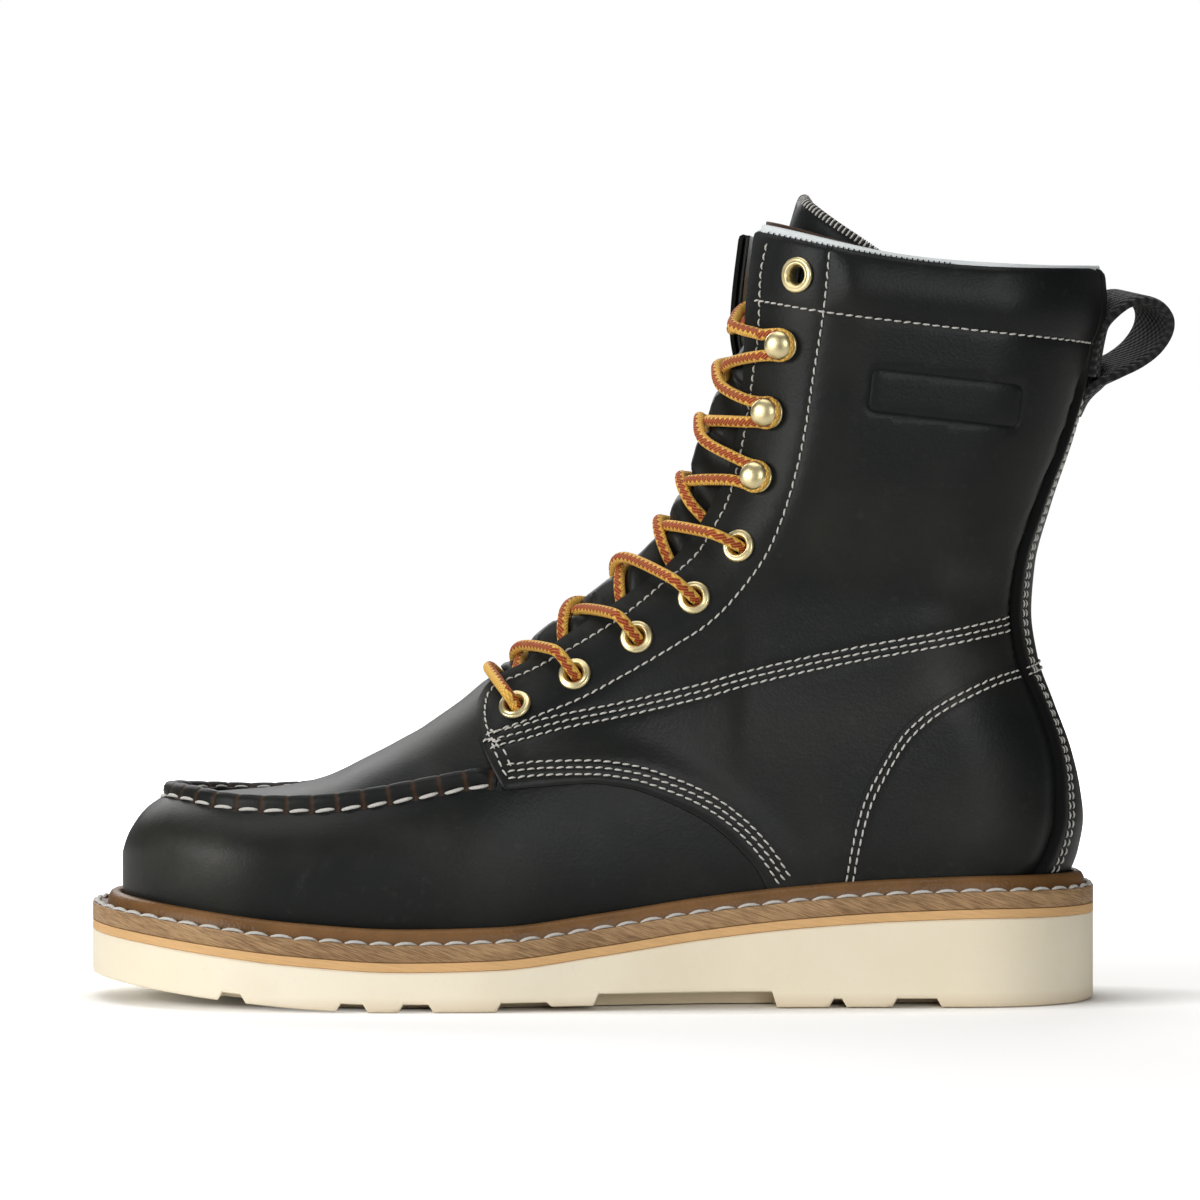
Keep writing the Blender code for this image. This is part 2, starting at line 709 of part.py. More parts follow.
def tube_mesh(name, points, radius, material, collection):
    """The same tube as a closed mesh, ready to be joined to another."""
    guide = tube_curve(name, points, radius, material, collection)
    bpy.context.view_layer.update()
    depsgraph = bpy.context.evaluated_depsgraph_get()
    mesh = bpy.data.meshes.new_from_object(guide.evaluated_get(depsgraph))
    curve = guide.data
    bpy.data.objects.remove(guide)
    bpy.data.curves.remove(curve)
    built = bmesh.new()
    built.from_mesh(mesh)
    bmesh.ops.remove_doubles(built, verts=built.verts, dist=0.01 * MM)
    bmesh.ops.recalc_face_normals(built, faces=built.faces)
    built.to_mesh(mesh)
    built.free()
    mesh.name = name
    return place_object(name, mesh, material, collection)


def make_moc_seam(material):
    """Gathered ridge around the plug, laid on the vamp."""
    lateral = [(x, -half) for x, half in reversed(MOC_SEAM)]
    medial = [(x, half * MOC_MEDIAL_SHARE) for x, half in MOC_SEAM[1:]]
    points = []
    for place in smooth_path(lateral + medial, SEAM_POINTS):
        x, y = place
        side = LATERAL if y < 0 else MEDIAL
        z = height_on_upper(x, max(abs(y), 1.0), side)
        points.append(Vector((x, bow(x) + y, z)) + upper_normal(x, z, side) * (SEAM_RADIUS + 1.5 * GAP))
    return tube_curve("moc_seam", points, SEAM_RADIUS, material, parts)


def tongue_place(s, y, depth):
    """Point of the tongue under its face: out between the flaps, under them, or leaning back."""
    z = front_z_at(min(s, FRONT_S)) + max(s - FRONT_S, 0.0)
    under = -(WALL + 5 * GAP)
    bulge = max(bulge_of(z), under)
    lean = min(bulge_of(z) - under, 0.0)
    opening = slot_half(s - TONGUE_CLEAR)
    tuck_start, tuck_end = TONGUE_TUCK
    edge = smoothstep(abs(y), opening - tuck_start, opening - tuck_end) if opening > tuck_start else 1.0
    rise = bulge + (under - bulge) * edge
    return over_throat(s, y, rise - depth) + front_frame(s)[2] * lean


def make_tongue(material):
    """Padded tongue behind the throat, leaning back above the hooks."""
    rings = []
    for s in np.linspace(THROAT_S - TONGUE_ROOT, FRONT_S + TONGUE_ABOVE_COLLAR, TONGUE_ROWS):
        z = front_z_at(min(s, FRONT_S)) + max(s - FRONT_S, 0.0)
        half = tongue_half_of(z)
        inside = (0.0, SLOT_HALF / 4, SLOT_HALF / 2, SLOT_HALF - TONGUE_TUCK[1])
        right = inside + ((inside[-1] + half) / 2, half)
        face, back = [], []
        for y in [-place for place in reversed(right[1:])] + list(right):
            thick = TONGUE_EDGE + (TONGUE_THICKNESS - TONGUE_EDGE) * (1 - (y / half) ** 2)
            face.append(tongue_place(s, y, 0.0))
            back.append(tongue_place(s, y, thick))
        rings.append(face + back[::-1])
    return lofted("tongue", rings, material)


def make_pull_loop(material):
    """Strap loop sewn to the back of the collar."""
    path = smooth_path(LOOP_PATH, LOOP_POINTS)
    rings = []
    for i, point in enumerate(path):
        ahead = (path[min(i + 1, len(path) - 1)] - path[max(i - 1, 0)]).normalized()
        out = Vector((-ahead.y, ahead.x)) * (LOOP_THICKNESS / 2)
        ring = []
        for offset, y in ((out, -1), (out, 1), (-out, 1), (-out, -1)):
            ring.append((point.x + offset.x, y * LOOP_WIDTH / 2, point.y + offset.y))
        rings.append(ring)
    return lofted("pull_loop", rings, material)


def lacing_rows():
    """Running length and sideways spread of each eyelet and hook pair."""
    rows = []
    for x, z in LOW_EYELETS + HOOKS + (TOP_EYELET,):
        spread = {side: half_width(x, z, side) for side in (LATERAL, MEDIAL)}
        rows.append((front_length_at(x, z), spread))
    return rows


def strand(start, end, flange):
    """Points of a strand between two places (running length, sideways place) of the throat.

    The strand keeps clear of the tongue's crown and of a flange on the flaps.
    """
    spread = max(abs(start[1]), abs(end[1]))
    clear = LACE_RADIUS + STRAND_CLEAR + flange
    points = []
    for share in np.linspace(0.0, 1.0, STRAND_POINTS):
        s = start[0] + (end[0] - start[0]) * share
        y = start[1] + (end[1] - start[1]) * share
        crown = max(0.0, bulge_of(front_z_at(s)))
        points.append(over_throat(s, y, clear + crown * max(0.0, 1 - (y / spread) ** 2)))
    return points


def make_lace_crossing(number, low, high, hooked, material):
    """Two strands crossing over the tongue, joined where they meet."""
    name = f"lace_cross_{number}"
    low_s, low_spread = low
    high_s, high_spread = high
    to_hook = number >= len(LOW_EYELETS)
    low_s += HOOK_WRAP if hooked else BAR_CLEAR if number == 1 else STRAND_STEP
    high_s -= HOOK_WRAP if to_hook else 0.0
    flange = 0.0 if to_hook else EYELET_FLANGE
    pieces = []
    for side in (LATERAL, MEDIAL):
        start = low_spread[side] - HOOK_CLEAR if hooked else SLOT_HALF - STRAND_START_IN
        end = high_spread[-side] - (HOOK_CLEAR if to_hook else 0.0)
        points = strand((low_s, side * start), (high_s, -side * end), flange)
        kept = side == LATERAL
        label = name if kept else name + "_other_strand"
        pieces.append(tube_mesh(label, points, LACE_RADIUS, material, parts if kept else cutters))
    joined, other = pieces
    other.hide_render = True
    other.display_type = "WIRE"
    union = joined.modifiers.new("crossing", "BOOLEAN")
    union.operation = "UNION"
    union.object = other
    return joined


def make_lace(material):
    """Bottom bar, crossings and the two hidden ends."""
    rows = lacing_rows()
    s, spread = rows[0]
    bar = strand((s, -spread[LATERAL]), (s, spread[MEDIAL]), EYELET_FLANGE + GAP)
    tube_curve("lace_bar", bar, LACE_RADIUS, material, parts)
    first_hook = len(LOW_EYELETS)
    for number in range(1, len(rows) - 1):
        make_lace_crossing(number, rows[number - 1], rows[number], number > first_hook, material)
    make_lace_ends(rows, material)


def make_lace_ends(rows, material):
    """Ends from the top hooks over the flaps, tucked under the other flap at the top eyelets."""
    hook_s, hook_spread = rows[-2]
    top_s, top_spread = rows[-1]
    for side, label in ((LATERAL, "lateral"), (MEDIAL, "medial")):
        step = LACE_END_STEP[side]
        route = [(hook_s + HOOK_WRAP, side * (hook_spread[side] - HOOK_CLEAR), LACE_RADIUS + 2.5 * GAP)]
        route += [(hook_s + up, side * across, lift + share * step) for up, across, lift, share in LACE_END]
        route.append((top_s, -side * (top_spread[-side] - LACE_END_IN), LACE_END[-1][2]))
        points = [tuple(over_throat(*place)) for place in route]
        path = smooth_path(points, LACE_END_POINTS)
        tube_curve(f"lace_end_{label}", path, LACE_RADIUS, material, parts)


def clear_scene():
    """Start from an empty scene."""
    for item in list(bpy.data.objects):
        bpy.data.objects.remove(item, do_unlink=True)


def new_collection(name):
    """Collection linked to the scene."""
    collection = bpy.data.collections.new(name)
    bpy.context.scene.collection.children.link(collection)
    return collection


def centre_origin():
    """Put the origin under the middle of the boot, on the floor."""
    bpy.context.view_layer.update()
    depsgraph = bpy.context.evaluated_depsgraph_get()
    corners = []
    for item in parts.objects:
        if item == origin:
            continue
        seen = item.evaluated_get(depsgraph)
        corners += [item.matrix_world @ vertex.co for vertex in seen.to_mesh().vertices]
        seen.to_mesh_clear()
    middle = [(min(axis) + max(axis)) / 2 for axis in zip(*corners)]
    origin.location = (-middle[0], -middle[1], 0.0)
    bpy.context.view_layer.update()


clear_scene()
parts = new_collection("moc_toe_work_boot")
cutters = new_collection("cutters")
origin = bpy.data.objects.new("boot_origin", None)
parts.objects.link(origin)
finish = {name: new_material(name) for name in COLOURS}

make_outsole(finish["cream"])
make_midsole(finish["tan"])
make_welt(finish["welt"])
make_insole(finish["lining"])
upper_shell = make_upper(finish["leather"])
bpy.context.view_layer.update()
make_trim(upper_shell, finish["brass"])
cut_eyelet_holes(upper_shell)
make_tongue(finish["leather"])
make_moc_seam(finish["leather"])
make_pull_loop(finish["webbing"])
make_lace(finish["lace"])
centre_origin()
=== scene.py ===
"""Looks of the moc toe work boot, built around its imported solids.

Sizes in the tables are millimetres in the last's own frame: x runs from the sole's toe tip to
the heel, z up from the floor, y from the lateral side (negative) to the medial side.
"""
import math
import random
from contextlib import contextmanager

import bmesh
import bpy
import numpy as np
from mathutils import Matrix, Quaternion, Vector, geometry, kdtree


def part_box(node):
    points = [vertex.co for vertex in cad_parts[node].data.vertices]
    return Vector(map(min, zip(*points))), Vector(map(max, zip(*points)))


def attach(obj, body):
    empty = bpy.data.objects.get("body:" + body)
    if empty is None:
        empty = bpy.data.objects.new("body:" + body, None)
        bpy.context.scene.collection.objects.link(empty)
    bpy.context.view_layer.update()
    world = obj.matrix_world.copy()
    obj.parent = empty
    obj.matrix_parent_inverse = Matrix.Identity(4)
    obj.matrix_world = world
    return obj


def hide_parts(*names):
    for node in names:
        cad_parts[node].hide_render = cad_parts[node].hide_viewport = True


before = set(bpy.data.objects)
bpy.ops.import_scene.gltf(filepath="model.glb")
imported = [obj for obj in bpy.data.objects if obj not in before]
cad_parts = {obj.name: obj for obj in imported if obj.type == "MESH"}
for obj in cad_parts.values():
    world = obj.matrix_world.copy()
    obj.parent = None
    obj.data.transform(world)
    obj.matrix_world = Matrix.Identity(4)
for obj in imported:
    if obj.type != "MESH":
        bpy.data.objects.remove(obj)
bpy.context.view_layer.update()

bl_info = {
    "name": "Moc Toe Work Boot",
    "version": (1, 0, 0),
    "blender": (4, 5, 0),
    "location": "View3D > Sidebar > Boot",
    "description": "Builds the leather, stitching, laces and sole of a moc toe work boot",
    "category": "Object",
}

MM = 0.001
WELD = 0.002
VAMP_WELD = 0.02
LATERAL = -1
MEDIAL = 1
SIDES = ((LATERAL, "lateral"), (MEDIAL, "medial"))

# The last and the sole stack, as in the solids
GAP = 0.3
SOLE_LENGTH = 307
SOLE_END_CUT = 0.15
SOLE_MARGIN = 6.5
MIDSOLE_THICKNESS = 2.4
WELT_RIM = 5.5
BEAD_HEIGHT = 4.1
BEAD_WIDTH = 4.4
INSOLE_THICKNESS = 3
WIDEST_ABOVE_WELT = 12
FEATHER_TUCK = 0.035
LEG_BLEND = (70, 130)
TOE_ROUND = 50
TOE_POWER = 2.15
SOLE_TOE_ROUND = 58
BACK_ROUND = 37
SOLE_BACK_ROUND = 41
SHIN_ROUND = 38
ROUND_POWER = 2.1
TOE_BOW = 7
TOE_BOW_END = 110
TOE_TUCK_BELOW = 36
TOE_TUCK_SPAN = 10
TOE_TUCK = 1.2
THROAT_X = 121
THROAT_DEPTH = 45
SLOT_HALF = 14
COLLAR_DIP = 5
LUG_FLANK = 1.5
NOTCH_REACH = 13
BACK_DEPTH = 60
BISECTIONS = 30

# Leather thicknesses and how far panels stand over the vamp
PANEL_THICKNESS = 1.3
PANEL_STEP = 1.5
PANEL_EDGE = 0.5
PANEL_MESH = 2.2
BASE_SINK = 2.4
BASE_WALL = 1.4
BACKSTAY_DIP = 2
SEAT_TUCK = 4
REAR_TUCK = 4
FLAP_INSET = 0.7
GROOVE_DEPTH = 0.3
GROOVE_WIDTH = 0.75
ROW_SPACING = 2
STITCH_SLANT = 7
FLAP_FLARE = 4
COLLAR_PUFF = 2
TONGUE_ROOT = 12
TONGUE_ABOVE_COLLAR = 12.8
TONGUE_WING_DROP = 19
TONGUE_WRAP = 16
RIM_ROLL = 1.1
RIM_ROLL_SPAN = 2.6

# Centre line of the upper from the toe tip over the vamp and up the front: x, z
TOP_LINE = (
    (9.2, 40), (9.7, 45), (12.2, 51.6), (17.8, 58.5), (25, 62.2), (38, 63.6), (55, 65),
    (70.2, 67.7), (85, 73.6), (99.6, 81.5), (113.4, 90.7), (121, 97), (141.7, 111.2),
    (159.6, 123), (175.9, 135.4), (186.5, 150), (193, 164), (196.6, 182), (197.8, 210),
    (200.5, 234),
)
# Centre line of the back, heel seat to collar: z, x
BACK_LINE = (
    (36, 298.6), (45, 302), (55, 303.6), (64, 302.6), (76, 299.8), (90, 294.6),
    (104, 289.6), (118, 287.6), (132, 288.6), (150, 293.3), (172, 300.6), (196, 306.6),
    (222, 309.9),
)
# Widest outline of the upper from its bowed centre line: x, lateral, medial
OUTLINE = (
    (9, 46, 43), (50, 47.5, 44), (85, 49, 45.5), (115, 48.5, 43),
    (155, 41, 35), (200, 34, 30.5), (250, 32.5, 32), (304, 33, 33),
)
# Half-width of the shaft: z, half
SHAFT = ((60, 33), (96, 31.5), (120, 31.5), (150, 35.5), (180, 38.5), (222, 41))
# Squareness of the cross sections over the foot: x, power
ARCH = ((9, 2.6), (60, 2.5), (100, 2.15), (140, 1.95), (200, 2))
# Top edge of the outsole: x, z
SOLE_TOP = (
    (0, 21), (20, 18.9), (40, 16.5), (64, 13.8), (97, 11.9), (126, 12.5),
    (156, 16.1), (186, 20.5), (216, 23.8), (246, 25.8), (276, 26.7), (307, 26.4),
)
# Ground line of the lugs, with toe spring and a bevelled heel: x, z
GROUND = ((0, 7.9), (17, 5.9), (45, 2.9), (70, 0.7), (86, 0), (300, 0), (307, 0.8))
# Lugs from toe to heel: start, end, lift off the floor, rise of the notch behind
LUGS = (
    (0, 42, 0, 2.5), (50.5, 77.5, 0, 2.4), (87, 96, 0, 2.3), (106.5, 125, 0, 2.6),
    (141.5, 154, 1.3, 4.8), (209, 224.5, 0, 2.5), (230, 243.5, 0, 2.6),
    (258.5, 307, 0, 0),
)
# Low eyelets, speed hooks and top eyelet on the side view: x, z
LOW_EYELETS = ((130.5, 89.9), (148.3, 99.6), (166.9, 110.8), (184.2, 122.7), (197.6, 138.3))
HOOKS = ((204.1, 158.7), (207.6, 178.2), (211.4, 198.5))
TOP_EYELET = (215, 219.5)
EYELETS = LOW_EYELETS + (TOP_EYELET,)
EYELET_HOLE = 3.2
VAMP_HOLE = 3.3
HOLE_SIDES = 18
# Gathered seam between plug and vamp: x, half-width
MOC_SEAM = (
    (24.5, 0), (27, 11), (33, 20), (46, 31), (75, 37), (98, 39), (121, 40.5), (128, 41),
)
MOC_MEDIAL_SHARE = 0.85
MOC_STEP = 0.4
PLUG_DIP = 1.3
# Tongue: z on the front line, forward bulge between the flaps, half-width
TONGUE = (
    (80, -3.2, 18), (97, 0, 20), (111, 3.2, 23), (123, 4.6, 25), (136, 6, 26),
    (150, 8, 27), (164, 9, 28), (181, 6.3, 30), (197, -1, 31),
    (208, -7.5, 33), (220, -10.5, 35), (234, -12.5, 37), (248, -15, 38),
)
# Middle of the pull loop's strap on the centre plane: x, z
LOOP_PATH = (
    (301.8, 178), (304.4, 183), (308.8, 187.2), (315, 190.4), (321, 193.4), (326, 197.4),
    (329.3, 202.6), (329.6, 207.4), (326.8, 211), (322, 212.6), (317.3, 211.5), (313.5, 208.6),
    (310.8, 205.2), (309.2, 201), (308, 195.5), (307.4, 189.5),
)
# Strap of the pull loop: width, thickness, and how far the medial side hangs back and up
LOOP_STRAP = (22, 2.9, -0.38, 0.14)
# Front edge of the quarter from its lower corner up to the throat: x, z
QUARTER_FRONT = (
    (127.2, 65.3), (124.1, 70.8), (121.1, 76.9), (119.4, 82.3), (118.9, 87), (119.6, 91), (121.6, 94.6),
)
# Lower edge of the quarter over the vamp, corner to welt: x, z
QUARTER_LOWER = (
    (127.2, 65.3), (140, 66.4), (153, 67.2), (164, 65.9), (176.3, 61.6), (188.3, 55.3),
    (196.4, 48.6), (203.5, 40.5), (208, 31),
)
# Stitch lines on the quarter, seen from the side: x, z
EYESTAY_FRONT_LINE = (
    (122.9, 80.1), (121.7, 87), (122.2, 91), (124.5, 94.5), (130.2, 97.9), (140.6, 103.7),
    (152.3, 110.4), (163.8, 117.9), (174.6, 126.7), (185.2, 136), (190.1, 143.6), (194.6, 152.3),
    (198.1, 164.8), (200.7, 179.3), (202.2, 190.8), (203.6, 202.2), (204.3, 219.7), (206.3, 230),
)
EYESTAY_REAR_LINE = (
    (224.4, 226.5), (222.9, 210.2), (219.6, 188.4), (217.1, 171.6), (212.9, 153.9), (206.7, 137.4),
    (197.8, 124.5), (189, 115.4), (178.6, 108.5), (163.7, 99.8), (148.7, 91.9), (140, 88.5),
    (133.9, 86), (126.5, 82.8),
)
SHAFT_SEAM_LINE = (
    (122.8, 81), (141.5, 86.9), (163.7, 91.4), (188.7, 97.2), (201, 100.7), (231, 107.3),
    (261.2, 112.7), (282, 116.9),
)
QUARTER_SEAM_LINE = (
    (128.1, 68.5), (140.1, 69.6), (152.9, 69.8), (164.1, 68.6), (176.3, 64.9), (186.6, 60.3),
    (196.4, 53.4), (204.4, 44.7), (210, 36.3),
)
CORNER_LINE = ((123.6, 79), (125.6, 73.6), (128.1, 68.5))
COLLAR_LINE = ((202.3, 212.4), (222.6, 208.4), (251.6, 204.8), (275.5, 202.1), (305.6, 199.5))
COUNTER_LINE = (
    (231.9, 36.5), (234, 48.2), (237.3, 60.2), (242.7, 70.7), (249, 80.3), (257.8, 87.8),
    (267.5, 93.1), (277, 97), (284.5, 98.9),
)
# Backstay: z, half-width round the back
BACKSTAY = (
    (32, 25.5), (58, 22.5), (75, 19), (90, 17.5), (105, 18.5), (125, 18.5),
    (150, 18), (165, 17), (177, 16), (188, 15.5), (199, 15.5), (222, 15.5),
)
BACKSTAY_BLEND = (184, 198)
BACKSTAY_STITCH_IN = 4.6
# Blank pressed frame on the shaft: centre x, centre z, half length, half height, tilt in degrees
STAMP = (259.5, 182.6, 23.3, 6.8, 6.5)
STAMP_CORNER = 2.2
# Soft creases: x, z, direction in degrees, half length, half width, depth
CREASES = (
    (66, 40, 54, 6.5, 2.1, 0.40), (70.5, 42, 58, 9, 2.6, -0.30), (75.5, 42.5, 64, 9, 2.8, 0.20),
    (104, 76, 128, 12, 4, 0.35), (266, 150, 12, 20, 6, 0.40),
    (258, 133, 6, 24, 7, -0.45), (262, 122, -4, 18, 5, 0.40),
    (238, 128, 30, 16, 6, 0.35), (276, 213, 60, 8, 3, 0.25),
)
# Pale patches where the oil has moved, and in the first row a painted highlight on the toe's side: x, z,
# half length, half height, strength
HAZE_AND_HIGHLIGHT = (
    (35, 46, 16, 9, 1.3), (98, 52, 15, 5, 0.5), (129, 39, 12, 8, 0.3),
    (263.5, 130.5, 10, 6, 0.6), (252, 145, 15, 10, 0.35), (265.5, 102.5, 12, 6, 0.6),
    (257.5, 95, 10, 7, 0.6), (231, 87, 16, 10, 0.25), (262, 58, 18, 13, 0.2),
    (140, 74, 15, 7, 0.4), (195, 80, 34, 16, 0.25), (70, 60, 20, 6, 0.25),
)
# Short crossing rows where the quarter's front corner is tacked: x, z
TACK_LINES = (
    ((123.4, 82.2), (124.5, 81.4), (125.5, 82)), ((123.6, 79.9), (124.6, 78.6), (126.2, 79.2)),
    ((121.3, 78.6), (122.4, 79.4), (123.8, 79.2)), ((124.2, 79.6), (125, 78.2), (125.7, 77.2)),
)
# Stitches of the tack: pitch, length
TACK_STITCH = (1.2, 1.7)
# Lace crossings over the tongue: running length on the front line, lift of the upper strand's middle
CROSSINGS = (
    (146.5, 2.2), (167, 4.6), (187.5, 7.8), (206.5, 8.2), (222, 9.6), (243, 10), (261, 5.6),
)
# Hidden lace ends from the top hook: step up the front, place across, lift, share of the crossing step
LACE_END = (
    (5.5, 14, 3, 0), (8.5, 5, -1.8, 1), (11.5, -5, -3.8, 1), (15, -14, -5, 0),
)
# Strand into an eyelet from outside: out from the leather, towards the throat, up the lacing
EYELET_ENTRY = (
    (4.7, 8, -1), (3.7, 3.6, -0.3), (1.6, 0.8, 0), (-1.6, -0.4, 0), (-5, -0.8, 0),
)
# Strand behind a hook: height over the leather, radius and turns in degrees
HOOK_STRAND = (2.35, 3.5, (-120, -90, -45, 0, 45, 90, 120))
STRAND_DROP = 2.9
LACE_END_STEP = {LATERAL: 2.4, MEDIAL: -2}
LACE_END_IN = 8
HOOK_CLEAR = 4.8
HOOK_WRAP = 3


def length_property(name, description, default):
    """Length property in metres."""
    return bpy.props.FloatProperty(name=name, description=description, default=default, unit="LENGTH")


class BootSizes(bpy.types.PropertyGroup):
    """Sizes of the trim that a user may change."""

    stitch_pitch: length_property("Stitch pitch", "Spacing of the panel stitches", 0.00285)
    stitch_length: length_property("Stitch length", "Length of a panel stitch", 0.0023)
    stitch_radius: length_property("Thread radius", "Half the panel thread's thickness", 0.0003)
    moc_pitch: length_property("Moc pitch", "Spacing of the moc toe's stitches", 0.0076)
    welt_pitch: length_property("Welt pitch", "Spacing of the welt's lockstitches", 0.0074)
    lace_diameter: length_property("Lace diameter", "Thickness of the round lace", 0.0035)


def colour_property(name, description, default):
    """Colour property with the given look."""
    return bpy.props.FloatVectorProperty(
        name=name, description=description, default=default, subtype="COLOR", min=0.0, max=1.0)


class BootColours(bpy.types.PropertyGroup):
    """Colours of the boot's materials."""

    leather: colour_property("Leather", "Oiled black leather", (0.0070, 0.0085, 0.0078))
    leather_brown: colour_property(
        "Leather tinge", "Warm tone where the oil has moved", (0.020, 0.0195, 0.0160))
    bead: colour_property("Welt bead", "Brown leather of the welt's bead", (0.180, 0.086, 0.027))
    welt_dark: colour_property("Welt edge dark", "Dark streaks of the welt's cut edge", (0.19, 0.105, 0.048))
    welt_pale: colour_property("Welt edge pale", "Pale streaks of the welt's cut edge", (0.46, 0.29, 0.145))
    tan: colour_property("Midsole", "Tan midsole edge", (0.71, 0.43, 0.19))
    cream: colour_property("Outsole", "Cream wedge rubber", (0.92, 0.845, 0.68))
    thread: colour_property("Thread", "Off-white stitching", (0.66, 0.64, 0.59))
    lace: colour_property("Lace", "Yellow-orange lace yarn", (0.98, 0.57, 0.11))
    lace_fleck: colour_property("Lace fleck", "Brick red lace yarn", (0.35, 0.042, 0.016))
    brass: colour_property("Brass", "Pale brass of eyelets and hooks", (0.83, 0.71, 0.40))
    lining: colour_property("Lining", "White lining cloth", (0.76, 0.80, 0.80))
    footbed: colour_property("Footbed", "Natural leather footbed", (0.50, 0.36, 0.22))
    webbing: colour_property("Webbing", "Black woven strap", (0.016, 0.016, 0.016))


def sizes():
    """Sizes set in the panel."""
    return bpy.context.scene.boot_sizes


def colours():
    """Colours set in the panel."""
    return bpy.context.scene.boot_colours


# Curves of the last

def smooth_curve(rows, value=1, knot=0):
    """Smooth function through two columns of a table that never overshoots its rows."""
    knots, values = (np.array([row[column] for row in rows], dtype=float) for column in (knot, value))
    spans = np.diff(knots)
    slopes = np.diff(values) / spans
    tangents = np.empty_like(values)
    tangents[0] = slopes[0]
    tangents[-1] = slopes[-1]
    for i in range(1, len(values) - 1):
        before, after = slopes[i - 1], slopes[i]
        tangents[i] = 2 * before * after / (before + after) if before * after > 0 else 0

    def value_at(at):
        at = np.clip(at, knots[0], knots[-1])
        i = np.clip(np.searchsorted(knots, at, side="right") - 1, 0, len(spans) - 1)
        t = (at - knots[i]) / spans[i]
        ends = (1 + 2 * t) * (1 - t) ** 2 * values[i] + t * t * (3 - 2 * t) * values[i + 1]
        return ends + spans[i] * (t * (1 - t) ** 2 * tangents[i] + t * t * (t - 1) * tangents[i + 1])

    return value_at


def ramp(value, low, high):
    """Smooth ramp from 0 at low to 1 at high."""
    t = np.clip((value - low) / (high - low), 0, 1)
    return t * t * (3 - 2 * t)


def rounded(distance, radius, power):
    """Share of the full width at a distance in from a rounded end."""
    t = np.clip(distance / radius, 0, 1)
    return (1 - (1 - t) ** power) ** (1 / power)


def chord_lengths(points):
    """Running length along points."""
    steps = np.linalg.norm(np.diff(points, axis=0), axis=1)
    return np.append(0, np.cumsum(steps))


def rows_of(*columns):
    """Points from their columns."""
    return np.stack(np.broadcast_arrays(*columns), axis=-1)


def unit(vectors):
    """The same vectors at length one."""
    return vectors / np.linalg.norm(vectors, axis=-1, keepdims=True)


def heading(path):
    """Directions along a path."""
    return unit(np.gradient(path, axis=0))


def read_at(lengths, table, at):
    """Rows of a table read at running lengths."""
    return np.stack([np.interp(at, lengths, column) for column in table.T], axis=-1)


def halved(low, high, goes_on):
    """Narrow places between low and high to where a test stops holding."""
    for _ in range(BISECTIONS):
        middle = (low + high) / 2
        yes = goes_on(middle)
        low, high = np.where(yes, middle, low), np.where(yes, high, middle)
    return low, high


top_of = smooth_curve(TOP_LINE)
front_of = smooth_curve(TOP_LINE, 0, 1)
back_of = smooth_curve(BACK_LINE)
outline_of = {LATERAL: smooth_curve(OUTLINE), MEDIAL: smooth_curve(OUTLINE, 2)}
shaft_of = smooth_curve(SHAFT)
arch_of = smooth_curve(ARCH)
sole_top_of = smooth_curve(SOLE_TOP)
ground_of = smooth_curve(GROUND)
bulge_of = smooth_curve(TONGUE)
tongue_half_of = smooth_curve(TONGUE, 2)
backstay_half_of = smooth_curve(BACKSTAY)
moc_half_of = smooth_curve(MOC_SEAM)
FRONT_ROWS = np.column_stack((chord_lengths(TOP_LINE), TOP_LINE))
front_x_at = smooth_curve(FRONT_ROWS)
front_z_at = smooth_curve(FRONT_ROWS, 2)
FRONT_S = FRONT_ROWS[-1, 0]
COLLAR_FRONT = TOP_LINE[-1]
COLLAR_BACK = BACK_LINE[-1][::-1]


def bow(x):
    """Sideways place of the foot's centre line, which leans in at the toe."""
    return TOE_BOW * np.maximum(0, 1 - x / TOE_BOW_END) ** 2


def upper_bottom(x):
    """Height of the upper's lower edge, just over the midsole."""
    return sole_top_of(x) + MIDSOLE_THICKNESS + 2 * GAP


def rim_top(x):
    """Height of the welt's flat rim."""
    return sole_top_of(x) + MIDSOLE_THICKNESS + GAP + WELT_RIM


def welt_top(x):
    """Height of the welt's bead, where the upper comes out of it."""
    return rim_top(x) + BEAD_HEIGHT


def toe_of(z):
    """Front of the toe at a height."""
    tuck = np.maximum(0, TOE_TUCK_BELOW - z) / TOE_TUCK_SPAN
    return TOP_LINE[0][0] + TOE_TUCK * tuck * tuck


def half_width(x, z, side):
    """Half-width of the upper's outer surface at points of the side view."""
    seat = welt_top(x)
    z = np.maximum(z, seat)
    widest = seat + WIDEST_ABOVE_WELT
    leg = ramp(z, *LEG_BLEND)
    base = (1 - leg) * outline_of[side](x) + leg * shaft_of(z)
    base = base * rounded(back_of(z) - x, BACK_ROUND, ROUND_POWER)
    base = base * (1 - FEATHER_TUCK * np.maximum(0, (widest - z) / WIDEST_ABOVE_WELT) ** 2)
    top = np.where(x < TOP_LINE[-1][0], top_of(x), TOP_LINE[-1][1])
    room = np.maximum(top - widest, 1e-6)
    rise = np.where(top > widest, np.clip((z - widest) / room, 0, 1), 0)
    power = arch_of(x)
    foot = (1 - rise ** power) ** (1 / power) * rounded(x - toe_of(z), TOE_ROUND, TOE_POWER)
    shin = rounded(x - front_of(z), SHIN_ROUND, ROUND_POWER)
    return base * ((1 - leg) * foot + leg * shin)


def upper_normal(x, z, side):
    """Outward directions of the upper's outer surface."""
    step = 0.5
    slope_x = (half_width(x + step, z, side) - half_width(x - step, z, side)) / (2 * step)
    slope_z = (half_width(x, z + step, side) - half_width(x, z - step, side)) / (2 * step)
    return unit(rows_of(-slope_x, side, -slope_z))


def by_side(function, y, x, z):
    """Values of a function of the form on the side that y lies on."""
    lateral, medial = function(x, z, LATERAL), function(x, z, MEDIAL)
    return np.where((y < 0).reshape(y.shape + (1,) * (lateral.ndim - y.ndim)), lateral, medial)


